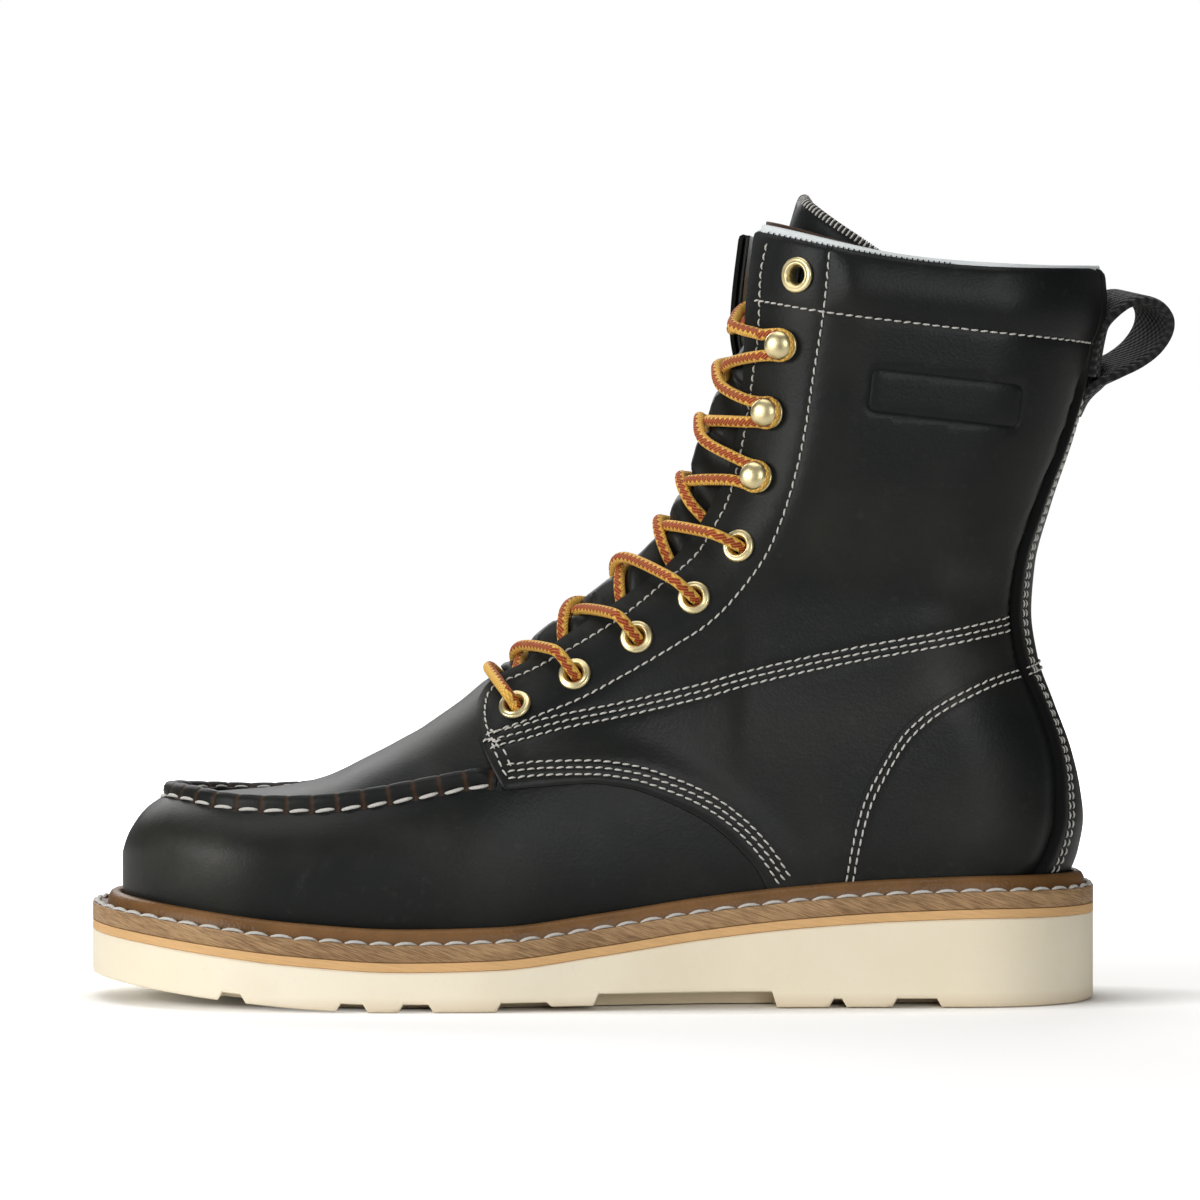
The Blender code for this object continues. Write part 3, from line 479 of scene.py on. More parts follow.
def on_side(x, z, side, lift=0):
    """Points that stand a lift out from the upper at places of the side view."""
    place = rows_of(x, bow(x) + side * half_width(x, z, side), z)
    return place + upper_normal(x, z, side) * np.asarray(lift)[..., None]


def behind(y, z, lift=0):
    """Points of the back at sideways places and heights, a lift out from the leather."""
    y, z = np.broadcast_arrays(y, z)

    def narrow(depth):
        return by_side(half_width, y, back_of(z) - depth, z) <= np.abs(y)

    x = back_of(z) - halved(np.zeros_like(y), np.full_like(y, BACK_DEPTH), narrow)[1]
    normal = by_side(upper_normal, y, x, z)
    normal[..., 1] *= ramp(np.abs(y), 0, 2)
    normal = unit(normal)
    return rows_of(x, y, z) + normal * np.asarray(lift)[..., None], normal


def height_on_upper(x, half, side):
    """Heights over the foot at which the upper is this wide."""
    lowest = welt_top(x) + WIDEST_ABOVE_WELT
    low, high = halved(lowest, top_of(x), lambda z: half_width(x, z, side) > half)
    return (low + high) / 2


def front_frame(s):
    """Points, directions and outward normals of the front line at running lengths."""
    reach = np.maximum(s - FRONT_S, 0)
    s = np.minimum(s, FRONT_S)
    step = 2
    near, far = np.maximum(s - step, 0), np.minimum(s + step, FRONT_S)
    ahead = unit(rows_of(front_x_at(far) - front_x_at(near), 0, front_z_at(far) - front_z_at(near)))
    point = rows_of(front_x_at(s), 0, front_z_at(s)) + ahead * reach[..., None]
    out = rows_of(-ahead[..., 2], 0, ahead[..., 0])
    return point, ahead, out


def front_length_at(x, z):
    """Running length of the front line abreast of a point of the side view."""
    s = np.linspace(0, FRONT_S, 800)
    return s[np.argmin((front_x_at(s) - x) ** 2 + (front_z_at(s) - z) ** 2)]


def throat_place(s, y):
    """Places of the throat's closed form and their outward directions."""
    s, y = np.broadcast_arrays(s, y)
    point, _, out = front_frame(s)
    ceiling = TOP_LINE[-1][1]

    def narrow(depth):
        place = point - out * depth[..., None]
        return by_side(half_width, y, place[..., 0], np.minimum(place[..., 2], ceiling)) < np.abs(y)

    place = point - out * halved(np.zeros_like(s), np.full_like(s, THROAT_DEPTH), narrow)[0][..., None]
    normal = by_side(upper_normal, y, place[..., 0], np.minimum(place[..., 2], ceiling - 1))
    return place + rows_of(0, y, 0), normal


def over_throat(s, y, lift):
    """Points that stand a lift out from the throat's closed form."""
    place, normal = throat_place(s, y)
    return place + normal * np.asarray(lift)[..., None]


THROAT_S = front_length_at(THROAT_X, top_of(THROAT_X))


def slot_half(s):
    """Half-width of the throat opening, round at its lower end."""
    t = np.clip((s - THROAT_S) / SLOT_HALF, 0, 1)
    return SLOT_HALF * np.sqrt(1 - (1 - t) ** 2)


def collar_height(x):
    """Height of the collar's rim along the shaft."""
    t = np.clip((x - COLLAR_FRONT[0]) / (COLLAR_BACK[0] - COLLAR_FRONT[0]), 0, 1)
    return COLLAR_FRONT[1] + (COLLAR_BACK[1] - COLLAR_FRONT[1]) * t - COLLAR_DIP * 4 * t * (1 - t)


def spread(start, end, count):
    """Places from start to end, closer together at both ends."""
    return start + (end - start) * (1 - np.cos(np.pi * np.arange(count + 1) / count)) / 2


def sole_half(x, side):
    """Half-width of the sole's edge from the bowed centre line."""
    ends = rounded(x, SOLE_TOE_ROUND, TOE_POWER) * rounded(SOLE_LENGTH - x, SOLE_BACK_ROUND, ROUND_POWER)
    return (outline_of[side](x) + SOLE_MARGIN) * ends


def sole_edge(x, side, inset=0):
    """Sideways place of the sole's edge."""
    return bow(x) + side * np.maximum(sole_half(x, side) - inset, 0.4)


def last_origin():
    """Place of the row's origin in the last's frame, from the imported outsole."""
    low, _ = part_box("outsole")
    edge = sole_edge(np.linspace(0, SOLE_LENGTH, 600), LATERAL).min()
    return np.array((SOLE_END_CUT - low.x / MM, edge - low.y / MM, 0))


LAST_ORIGIN = last_origin()


def to_row(points):
    """Points of the last's frame in millimetres as points of the row in metres."""
    return (points - LAST_ORIGIN) * MM


# Lines

def smooth_line(rows, step=0.4):
    """Evenly spread places on a smooth line through table rows."""
    table = np.column_stack((chord_lengths(rows), rows))
    at = np.linspace(0, table[-1, 0], max(int(table[-1, 0] / step), 2) + 1)
    return resample(np.column_stack([smooth_curve(table, column)(at) for column in (1, 2)]), step)


def resample(points, step, closed=False):
    """The same line with points an even step apart."""
    if closed:
        points = np.vstack((points, points[:1]))
    lengths = chord_lengths(points)
    at = np.linspace(0, lengths[-1], max(int(round(lengths[-1] / step)), 2) + 1)
    if closed:
        at = at[:-1]
    return read_at(lengths, points, at)


def rope_line(points, step=0.5):
    """Smooth path in space through loose points, as a slack cord takes them."""
    points = np.array(points)
    padded = np.vstack((2 * points[0] - points[1], points, 2 * points[-1] - points[-2]))
    t = np.linspace(0, 1, 16, endpoint=False)[:, None]
    pieces = [
        0.5 * (2 * b + (c - a) * t + (2 * a - 5 * b + 4 * c - d) * t ** 2 + (3 * b - a - 3 * c + d) * t ** 3)
        for a, b, c, d in zip(padded, padded[1:], padded[2:], padded[3:])
    ]
    return resample(np.vstack((*pieces, points[-1:])), step)


def eased(path, span):
    """The same path eased by a running mean over an odd count of points."""
    padded = np.pad(path, ((span // 2, span // 2), (0, 0)), mode="edge")
    return np.stack([np.convolve(axis, np.ones(span) / span, mode="valid") for axis in padded.T], axis=1)


def offset_line(line, distance):
    """Flat line moved sideways, to the left of its direction."""
    ahead = heading(line)
    return line + rows_of(-ahead[:, 1], ahead[:, 0]) * distance


def line_distance(x, z, line):
    """Distance of places of the side view from a line."""
    start, end = line[:-1], line[1:]
    along = end - start
    flat = rows_of(np.ravel(x), np.ravel(z))
    to_start = flat[:, None, :] - start[None]
    t = np.clip((to_start * along).sum(-1) / np.maximum((along ** 2).sum(-1), 1e-9), 0, 1)
    gaps = np.linalg.norm(to_start - t[..., None] * along, axis=-1)
    return gaps.min(1).reshape(np.shape(x))


def inside(x, z, ring):
    """Whether places of the side view lie inside a closed ring."""
    flat_x, flat_z = np.ravel(x)[:, None], np.ravel(z)[:, None]
    (ring_x, ring_z), (next_x, next_z) = ring.T, np.roll(ring, -1, axis=0).T
    crosses = (ring_z > flat_z) != (next_z > flat_z)
    rise = np.where(next_z == ring_z, 1e-9, next_z - ring_z)
    reach = ring_x + (flat_z - ring_z) * (next_x - ring_x) / rise
    return ((crosses & (flat_x < reach)).sum(1) % 2 == 1).reshape(np.shape(x))


# Meshes

def link_new(name, mesh):
    """Object of a mesh, linked to the scene."""
    piece = bpy.data.objects.new(name, mesh)
    bpy.context.scene.collection.objects.link(piece)
    return piece


def new_piece(name, points, faces, material, uv=None):
    """Smooth mesh object in the row's frame from points in millimetres."""
    mesh = bpy.data.meshes.new(name)
    mesh.from_pydata(to_row(points).tolist(), [], [tuple(map(int, face)) for face in faces])
    if uv is not None:
        layer = mesh.uv_layers.new(name="UVMap")
        layer.data.foreach_set("uv", np.asarray(uv, dtype=np.float32).ravel())
    mesh.update()
    mesh.materials.append(material)
    mesh.shade_smooth()
    return link_new(name, mesh)


def only(piece):
    """Make a piece the only selected and active one."""
    bpy.ops.object.select_all(action="DESELECT")
    piece.select_set(True)
    bpy.context.view_layer.objects.active = piece


def apply_modifier(piece, kind, **settings):
    """Add a modifier to a piece and apply it."""
    only(piece)
    modifier = piece.modifiers.new(kind.lower(), kind)
    for key, value in settings.items():
        setattr(modifier, key, value)
    bpy.ops.object.modifier_apply(modifier=modifier.name)


@contextmanager
def opened_mesh(piece):
    """A piece's mesh, open for editing and then put back."""
    built = bmesh.new()
    built.from_mesh(piece.data)
    yield built
    built.to_mesh(piece.data)
    built.free()


def face_out(piece, weld=0):
    """Point a closed piece's faces out, with doubles merged within a distance."""
    with opened_mesh(piece) as built:
        if weld:
            bmesh.ops.remove_doubles(built, verts=built.verts, dist=weld * MM)
        bmesh.ops.recalc_face_normals(built, faces=built.faces)


def mark(piece, name, values):
    """Give every point of a piece a value that its material reads."""
    marks = piece.data.attributes.new(name, "FLOAT", "POINT")
    marks.data.foreach_set("value", np.ravel(values).astype(np.float32))


def crisp(piece, degrees):
    """Smooth shading with sharp edges over an angle."""
    only(piece)
    bpy.ops.object.shade_smooth_by_angle(angle=math.radians(degrees))


def settle(piece, slot, *nodes):
    """Let a piece ride on the boot and hide the solids that it stands for; the slot argument is not used."""
    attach(piece, "root")
    if nodes:
        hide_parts(*nodes)
    return piece


def grid_faces(rows, columns, wrap=False, first=0):
    """Quads of a grid of points, closed across its columns if it wraps."""
    across = columns if wrap else columns - 1
    i, j = np.meshgrid(np.arange(rows - 1), np.arange(across), indexing="ij")
    k = (j + 1) % columns
    row, after = first + i * columns, first + (i + 1) * columns
    return rows_of(row + j, row + k, after + k, after + j).reshape(-1, 4)


def grid_uv(along, across):
    """Map of a grid's quads: running length along rows, share across columns."""
    i, j = np.meshgrid(np.arange(len(along) - 1), np.arange(len(across) - 1), indexing="ij")
    corners = [(i, j), (i, j + 1), (i + 1, j + 1), (i + 1, j)]
    return np.stack([rows_of(along[a], across[b]) for a, b in corners], axis=2).reshape(-1, 2)


def bar_faces(rows, columns):
    """Quads of a bar made of rings, and a face at each end."""
    last = (rows - 1) * columns
    faces = [tuple(face) for face in grid_faces(rows, columns, wrap=True)]
    return faces + [(0, *range(columns - 1, 0, -1)), tuple(range(last, last + columns))]


def new_sheet(name, grid, material):
    """Open sheet from a grid of points."""
    return new_piece(name, grid.reshape(-1, 3), grid_faces(*grid.shape[:2]), material)


def new_bar(name, grid, material, weld=0, uv=None):
    """Closed bar from rings of points, with its faces out."""
    piece = new_piece(name, grid.reshape(-1, 3), bar_faces(*grid.shape[:2]), material, uv)
    face_out(piece, weld)
    return piece


TUBE_START = (0.31, 0.17, 0.93)
STITCH_SIDES = 6
STITCH_SINK = 0.35


def tube_mesh(path, radius, sides=14):
    """Round tube with a flat face at each end along a path: points, faces and map."""
    ahead = heading(path)
    across = unit(np.cross(ahead[0], TUBE_START))
    angles = 2 * np.pi * np.arange(sides) / sides
    rings = []
    for place, forward in zip(path, ahead):
        across = unit(across - forward * np.dot(across, forward))
        other = np.cross(forward, across)
        rings.append(place + radius * (np.cos(angles)[:, None] * across + np.sin(angles)[:, None] * other))
    lengths = chord_lengths(path)
    faces = [face[::-1] for face in bar_faces(len(path), sides)]
    uv = grid_uv(lengths * MM, np.linspace(0, 1, sides + 1)).reshape(-1, 4, 2)[:, ::-1]
    cap_uv = np.concatenate([np.tile((lengths[at] * MM, 0.5), (sides, 1)) for at in (0, -1)])
    return np.vstack(rings), faces, np.vstack((uv.reshape(-1, 2), cap_uv))


def joined_tubes(paths, radius, sides=14):
    """Several tubes as one mesh."""
    points, faces, maps, count = [], [], [], 0
    for path in paths:
        more, quads, uv = tube_mesh(path, radius, sides)
        points.append(more)
        faces += [tuple(np.add(face, count)) for face in quads]
        maps.append(uv)
        count += len(more)
    return np.vstack(points), faces, np.vstack(maps)


def stitch_mesh(centres, tangents, normals, length, width, height):
    """Low arched stitches, their ends pulled into the leather: points and faces."""
    shares = np.array((-0.5, -0.42, -0.22, 0, 0.22, 0.42, 0.5))
    fat = np.array((0.35, 0.72, 0.98, 1, 0.98, 0.72, 0.35))
    angles = 2 * np.pi * np.arange(STITCH_SIDES) / STITCH_SIDES
    across = unit(np.cross(normals, tangents))
    rise = height * (1 - (2 * shares) ** 2) - STITCH_SINK * (2 * shares) ** 2 * height
    ways = (
        (tangents, (shares * length)[:, None]), (across, fat[:, None] * np.cos(angles) * width),
        (np.cross(tangents, across), fat[:, None] * np.sin(angles) * height + rise[:, None]),
    )
    points = centres[:, None, None] + sum(way[:, None, None] * part[None, ..., None] for way, part in ways)
    count = len(shares) * STITCH_SIDES
    faces = bar_faces(len(shares), STITCH_SIDES)
    every = [tuple(np.add(face, i * count)) for i in range(len(centres)) for face in faces]
    return points.reshape(-1, 3), every


def stitches_on(path, normals, pitch, length):
    """Middles, directions and normals of stitches spaced along a path."""
    lengths = chord_lengths(path)
    count = max(int(lengths[-1] / pitch), 1)
    middles = (np.arange(count) + 0.5) * lengths[-1] / count
    ends = [read_at(lengths, path, middles + shift) for shift in (length / 2, -length / 2)]
    tangents = unit(ends[0] - ends[1])
    chosen = read_at(lengths, normals, middles)
    slant = np.radians([random.gauss(STITCH_SLANT, 3) for _ in middles])[:, None]
    tangents = tangents * np.cos(slant) + np.cross(chosen, tangents) * np.sin(slant)
    return read_at(lengths, path, middles), tangents, chosen


# Materials

def put(node, key, value):
    """Set a node's socket to a value or a colour, or link another node's output to it."""
    socket = node.inputs[key]
    if isinstance(value, bpy.types.NodeSocket):
        node.id_data.links.new(value, socket)
    else:
        socket.default_value = (*value, 1) if socket.type == "RGBA" else value


def add_node(tree, kind, inputs=None, **settings):
    """Node with its settings and sockets."""
    made = tree.nodes.new("ShaderNode" + kind)
    for key, value in settings.items():
        setattr(made, key, value)
    for key, value in (inputs or {}).items():
        put(made, key, value)
    return made


class Finish:
    """Principled material under construction."""

    def __init__(self, name, roughness=0.5, metallic=0, specular=0.5):
        self.material = bpy.data.materials.new(name)
        self.material.use_nodes = True
        self.tree = self.material.node_tree
        self.shader = self.tree.nodes["Principled BSDF"]
        put(self.shader, "Roughness", roughness)
        put(self.shader, "Metallic", metallic)
        put(self.shader, "Specular IOR Level", specular)
        self.coords = add_node(self.tree, "TexCoord").outputs
        self.normal = None

    def streaks(self, slant, length, width):
        """Fine lines at a slant in degrees, up towards the heel; sizes in millimetres."""
        mapped = add_node(self.tree, "Mapping", {
            "Vector": self.coords["Object"], "Rotation": (0, math.radians(-slant), 0),
            "Scale": (length * MM, length * MM, width * MM)}, vector_type="TEXTURE")
        return self.noise(1, 4, 0.65, mapped.outputs[0])

    def noise(self, scale, detail=3, roughness=0.55, coords=None):
        inputs = {"Vector": coords or self.coords["Object"], "Scale": scale, "Detail": detail,
                  "Roughness": roughness}
        return add_node(self.tree, "TexNoise", inputs).outputs[0]

    def cells(self, scale, feature="SMOOTH_F1"):
        inputs = {"Vector": self.coords["Object"], "Scale": scale}
        return add_node(self.tree, "TexVoronoi", inputs, feature=feature).outputs[0]

    def math(self, operation, a, b=0, c=0):
        return add_node(self.tree, "Math", {0: a, 1: b, 2: c}, operation=operation).outputs[0]

    def ridge(self, value):
        return self.math("ABSOLUTE", self.math("SINE", self.math("MULTIPLY", value, math.pi)))

    def fit(self, value, low, high, new_low=0, new_high=1):
        inputs = {"Value": value, "From Min": low, "From Max": high, "To Min": new_low, "To Max": new_high}
        return add_node(self.tree, "MapRange", inputs).outputs[0]

    def mix(self, share, first, second):
        return add_node(self.tree, "Mix", {0: share, 6: first, 7: second}, data_type="RGBA").outputs[2]

    def clouds(self, scale, detail, colour, first, second):
        """Soft clouds, and a colour shaded by two factors over them."""
        cloud = self.noise(scale, detail)
        return cloud, self.mix(self.fit(cloud, 0.35, 0.7), shade(colour, first), shade(colour, second))

    def bump(self, height, strength, depth):
        inputs = {"Height": height, "Strength": strength, "Distance": depth * MM}
        if self.normal:
            inputs["Normal"] = self.normal
        self.normal = add_node(self.tree, "Bump", inputs).outputs[0]

    def done(self, colour, roughness=None):
        put(self.shader, "Base Color", colour)
        if roughness:
            put(self.shader, "Roughness", roughness)
        if self.normal:
            put(self.shader, "Normal", self.normal)
        return self.material


def finish(maker):
    """Material that is made at its first use and then used again."""
    name = "boot_" + maker.__name__

    def material():
        return bpy.data.materials.get(name) or maker(name)

    return material


def shade(colour, *factors):
    """Colour with its parts multiplied by one factor, or by one each."""
    factors = factors if len(factors) > 1 else factors * 3
    return tuple(min(part * factor, 1) for part, factor in zip(colour, factors))


@finish
def black_leather(name):
    """Oiled full grain leather: charcoal with a warm tinge, fine pores, faint wear and pale patches, one of
    which is a painted highlight on the toe.
    """
    made = Finish(name, specular=0.2)
    cloud = made.noise(16, 4)
    speckle = made.noise(240, 3, 0.65)
    warm = made.fit(cloud, 0.47, 0.72)
    tone = made.mix(warm, colours().leather, colours().leather_brown)
    worn = made.fit(speckle, 0.60, 0.80, 0, 0.22)
    tone = made.mix(worn, tone, (0.05, 0.047, 0.043))
    # Pale patches from the piece's attribute: the patch on the toe's side is a painted highlight, the others
    # are the oil's haze
    haze = add_node(made.tree, "Attribute", attribute_name="haze").outputs["Fac"]
    patches = made.fit(made.noise(75, 5, 0.7), 0.3, 0.7, 0.3, 1)
    tone = made.mix(made.math("MULTIPLY", haze, patches), tone, (0.038, 0.037, 0.031))
    made.bump(made.noise(120, 3), 0.14, 0.6)
    made.bump(made.cells(1150), 0.22, 0.22)
    made.bump(made.noise(2600, 2), 0.12, 0.15)
    rough = made.math("ADD", made.fit(cloud, 0.3, 0.7, 0.39, 0.51), made.fit(haze, -1, 0, 0.45, 0))
    return made.done(tone, rough)


def marked_leather(name, colour, roughness):
    """The same leather with a second tone where the piece's mark attribute says so."""
    made = Finish(name, specular=0.2)
    cloud = made.noise(30, 4)
    tone = made.mix(made.fit(cloud, 0.4, 0.75), colours().leather, colours().leather_brown)
    marked = add_node(made.tree, "Attribute", attribute_name="mark").outputs["Fac"]
    tone = made.mix(marked, tone, colour)
    made.bump(made.cells(1150), 0.25, 0.22)
    made.bump(made.noise(500, 3), 0.2, 0.3)
    return made.done(tone, made.fit(marked, 0, 1, 0.48, roughness))


@finish
def moc_leather(name):
    """Leather of the moc ridge, brown in the gathers."""
    return marked_leather(name, (0.052, 0.024, 0.010), 0.6)


@finish
def edged_leather(name):
    """Leather of the backstay with painted shade darkening its thick edges."""
    return marked_leather(name, (0.002, 0.002, 0.002), 0.8)


@finish
def bead_leather(name):
    """Brown welt leather, smooth and waxed."""
    made = Finish(name, specular=0.3)
    cloud, tone = made.clouds(60, 4, colours().bead, 0.82, 1.25)
    made.bump(made.cells(1300), 0.5, 0.25)
    made.bump(made.noise(300, 3), 0.25, 0.4)
    return made.done(tone, made.fit(cloud, 0.3, 0.7, 0.36, 0.50))


@finish
def welt_edge(name):
    """Ground edge of the welt: slanting streaks of dark and pale fibre."""
    made = Finish(name, roughness=0.62, specular=0.3)
    streaks = made.streaks(-20, 6, 0.32)
    cloud = made.noise(35, 3)
    share = made.math("ADD", made.fit(streaks, 0.36, 0.64), made.fit(cloud, 0.35, 0.65, -0.2, 0.25))
    tone = made.mix(share, colours().welt_dark, colours().welt_pale)
    made.bump(streaks, 0.3, 0.25)
    return made.done(tone)


@finish
def tan_midsole(name):
    """Tan midsole edge with fine grinding lines."""
    made = Finish(name, roughness=0.6, specular=0.3)
    streaks = made.streaks(-10, 10, 0.5)
    tan = colours().tan
    tone = made.mix(made.fit(streaks, 0.3, 0.7), shade(tan, 0.86), shade(tan, 1.08))
    made.bump(streaks, 0.2, 0.2)
    return made.done(tone)


@finish
def cream_rubber(name):
    """Matt cellular rubber with faint clouds, fine pores and a painted contact shadow, warm and darker
    towards the ground.
    """
    made = Finish(name, roughness=0.55, specular=0.35)
    cloud = made.noise(14, 5, 0.6)
    cream = colours().cream
    tone = made.mix(made.fit(cloud, 0.35, 0.7), cream, shade(cream, 0.93, 0.90, 0.84))
    speck = made.fit(made.noise(900, 2), 0.62, 0.8, 0, 0.18)
    tone = made.mix(speck, tone, shade(cream, 0.7))
    # Painted contact shadow: warm and darker over the lowest few millimetres above the floor
    height = add_node(made.tree, "SeparateXYZ", {0: made.coords["Object"]}).outputs[2]
    tone = made.mix(made.fit(height, 0, 0.0045, 0.45, 0), tone, shade(cream, 0.55, 0.42, 0.3))
    made.bump(made.noise(700, 3), 0.12, 0.25)
    return made.done(tone, made.fit(cloud, 0.3, 0.7, 0.48, 0.62))


@finish
def sewing_thread(name):
    """Twisted off-white thread."""
    made = Finish(name, roughness=0.7, specular=0.25)
    fibre = made.noise(2600, 3)
    thread = colours().thread
    tone = made.mix(made.fit(fibre, 0.3, 0.7), shade(thread, 0.72), thread)
    made.bump(fibre, 0.4, 0.2)
    return made.done(tone)


@finish
def braided_lace(name):
    """Round braid: yellow-orange yarn with brick red zigzags, the yarns raised."""
    made = Finish(name, roughness=0.72, specular=0.3)
    split = add_node(made.tree, "SeparateXYZ", {0: made.coords["UV"]})
    along, around = split.outputs[0], split.outputs[1]
    yarns, lay, flecks = 10, 1 / 0.0013, 2
    picks, turns = made.math("MULTIPLY", along, lay), made.math("MULTIPLY", around, yarns)
    ridge_left, ridge_right = (made.ridge(made.math(way, turns, picks)) for way in ("ADD", "SUBTRACT"))
    ridges = made.math("MULTIPLY", ridge_left, ridge_right)
    sway = made.math("MULTIPLY", made.math("PINGPONG", picks, 1), 0.20)
    band = made.math("FRACT", made.math("SUBTRACT", made.math("MULTIPLY", around, flecks), sway))
    off = made.math("ABSOLUTE", made.math("SUBTRACT", band, 0.5))
    fleck = made.math("MULTIPLY", made.fit(off, 0.30, 0.34), made.fit(ridge_left, 0.05, 0.40))
    yarn = colours().lace
    # Painted shade: the yarn is darker in the grooves between the raised yarns
    tone = made.mix(made.fit(ridges, 0, 0.5), shade(yarn, 0.58), yarn)
    tone = made.mix(fleck, tone, colours().lace_fleck)
    made.bump(ridges, 0.7, 0.35)
    return made.done(tone)


@finish
def pale_brass(name):
    """Polished brass with faint hairlines."""
    made = Finish(name, roughness=0.2, metallic=1)
    cloud, tone = made.clouds(300, 4, colours().brass, 1, 0.86)
    made.bump(made.noise(1500, 2), 0.06, 0.1)
    return made.done(tone, made.fit(cloud, 0.3, 0.7, 0.32, 0.43))


@finish
def lining_cloth(name):
    """White lining with a fine knitted face."""
    made = Finish(name, roughness=0.85, specular=0.2)
    _, tone = made.clouds(40, 3, colours().lining, 1, 0.9)
    made.bump(made.cells(1300, "F1"), 0.35, 0.3)
    return made.done(tone)


@finish
def footbed_leather(name):
    """Natural leather sock."""
    made = Finish(name, roughness=0.7, specular=0.3)
    _, tone = made.clouds(30, 4, colours().footbed, 1, 0.75)
    made.bump(made.cells(900), 0.25, 0.25)
    return made.done(tone)


@finish
def woven_strap(name):
    """Black webbing: a plain weave that follows the strap."""
    made = Finish(name, roughness=0.8, specular=0.3)
    split = add_node(made.tree, "SeparateXYZ", {0: made.coords["UV"]})
    pick = math.pi / 0.0013
    warp = made.math("SINE", made.math("MULTIPLY", split.outputs[0], pick))
    weft = made.math("SINE", made.math("MULTIPLY", split.outputs[1], pick))
    weave = made.math("MULTIPLY", warp, weft)
    black = colours().webbing
    # Painted shade and highlight: the black is darker where the weave dips and lighter where it rises
    tone = made.mix(made.fit(weave, -0.6, 0.9), shade(black, 0.6), shade(black, 2))
    made.bump(weave, 0.8, 0.5)
    put(made.shader, "Sheen Weight", 0.14)
    return made.done(tone)


@finish
def dark_thread(name):
    """Black overlock thread."""
    made = Finish(name, roughness=0.75, specular=0.25)
    fibre = made.noise(2200, 3)
    made.bump(fibre, 0.4, 0.2)
    return made.done(made.mix(fibre, (0.012, 0.012, 0.013), (0.03, 0.03, 0.032)))


# Upper

def flap_edge(side):
    """Edge of the lacing flap from throat to collar: x, z."""
    s = np.linspace(THROAT_S + 2, FRONT_S, 90)
    place, _ = throat_place(s, side * (SLOT_HALF - FLAP_INSET))
    return place[:, (0, 2)]


def turned(x, z, degrees):
    """Places of the side view measured along and across a direction."""
    cosine, sine = math.cos(math.radians(degrees)), math.sin(math.radians(degrees))
    return x * cosine + z * sine, z * cosine - x * sine


def crease_depth(x, z):
    """Soft troughs and ridges worn into the leather."""
    depth = np.zeros(np.shape(x))
    for centre_x, centre_z, turn, length, width, deep in CREASES:
        along, across = turned(x - centre_x, z - centre_z, turn)
        across = across + along ** 2 / (4 * length)
        depth = depth + deep * np.exp(-(along / length) ** 2 - (across / width) ** 2)
    return depth


def mark_haze(piece, bands=()):
    """Mark the pale patches of the leather, with the painted highlight on the toe among them, and bands
    along lines: line, half-width, strength.
    """
    places = np.array([vert.co for vert in piece.data.vertices])
    x, _, z = (places / MM + LAST_ORIGIN).T
    haze = np.zeros(len(x))
    for centre_x, centre_z, half_long, half_high, strength in HAZE_AND_HIGHLIGHT:
        haze += strength * np.exp(-((x - centre_x) / half_long) ** 2 - ((z - centre_z) / half_high) ** 2)
    for line, width, strength in bands:
        haze += strength * np.exp(-(line_distance(x, z, line) / width) ** 2)
    mark(piece, "haze", np.clip(haze, -1, 1))


def rim_roll(below):
    """How far leather turns in at a distance below the collar's rim."""
    return RIM_ROLL * (1 - rounded(below, RIM_ROLL_SPAN, 2))


# Lateral edge of the backstay: x, y, z
BACKSTAY_Z = np.linspace(30, 221, 48)
BACKSTAY_EDGE = behind(-backstay_half_of(BACKSTAY_Z), BACKSTAY_Z)[0]
backstay_x_of = smooth_curve(BACKSTAY_EDGE, 0, 2)


def seat_edge(first, last, count):
    """Edge of a panel down in the welt, between two places: x, z."""
    x = np.linspace(first, last, count)
    return rows_of(x, welt_top(x) - SEAT_TUCK)


def rear_edge(first, last, count):
    """Edge of a panel under the backstay, between two heights: x, z."""
    z = np.linspace(first, last, count)
    return rows_of(np.minimum(backstay_x_of(z) + REAR_TUCK, back_of(z) - 1.2), z)


def quarter_ring(side):
    """Outline of the quarter on the side view, counter-clockwise: x, z."""
    front = smooth_line(QUARTER_FRONT, 1)
    flap = flap_edge(side)
    flap = flap[flap[:, 1] > front[-1, 1] + 1.5]
    rim_x = np.linspace(flap[-1, 0] + 1.2, COLLAR_BACK[0] - 5, 90)
    rim = rows_of(rim_x, collar_height(rim_x) + 0.3)
    rear = rear_edge(rim[-1, 1] - 1, 34, 150)
    lower = smooth_line(QUARTER_LOWER, 1)
    seat = seat_edge(rear[-1, 0], lower[-1, 0] + 1, 60)
    ring = np.vstack((front[::-1], lower[1:], seat[::-1], rear[::-1], rim[::-1], flap[::-1]))
    return resample(ring, 1.2, closed=True)


def stitch_rows(line, count):
    """Parallel rows of a seam, spaced evenly from its first row."""
    base = smooth_line(line)
    return [offset_line(base, ROW_SPACING * k) for k in range(count)]


def quarter_stitch_lines():
    """Stitch lines of the quarter, single and in rows."""
    lines = [smooth_line(EYESTAY_FRONT_LINE), smooth_line(EYESTAY_REAR_LINE), smooth_line(COLLAR_LINE)]
    lines += stitch_rows([(x, z - 2 * ROW_SPACING) for x, z in SHAFT_SEAM_LINE], 3)
    lines += stitch_rows(QUARTER_SEAM_LINE, 3)
    corner = smooth_line(CORNER_LINE)
    return lines + [corner, offset_line(corner, ROW_SPACING * 1.3)[6:-4]]


QUARTER_LINES = quarter_stitch_lines()
COUNTER_ROWS = stitch_rows(COUNTER_LINE, 2)
COUNTER_EDGE = offset_line(COUNTER_ROWS[0], ROW_SPACING + 2.2)
QUARTER_EDGE = np.vstack((smooth_line(QUARTER_FRONT, 1)[::-1], smooth_line(QUARTER_LOWER, 1)[1:]))
COLLAR_SEAM = smooth_line(COLLAR_LINE, 2)


def groove_depth(x, z, lines):
    """How far stitches pull the leather in."""
    gap = np.min([line_distance(x, z, line[::6]) for line in lines], axis=0)
    return GROOVE_DEPTH * np.exp(-(gap / GROOVE_WIDTH) ** 2)


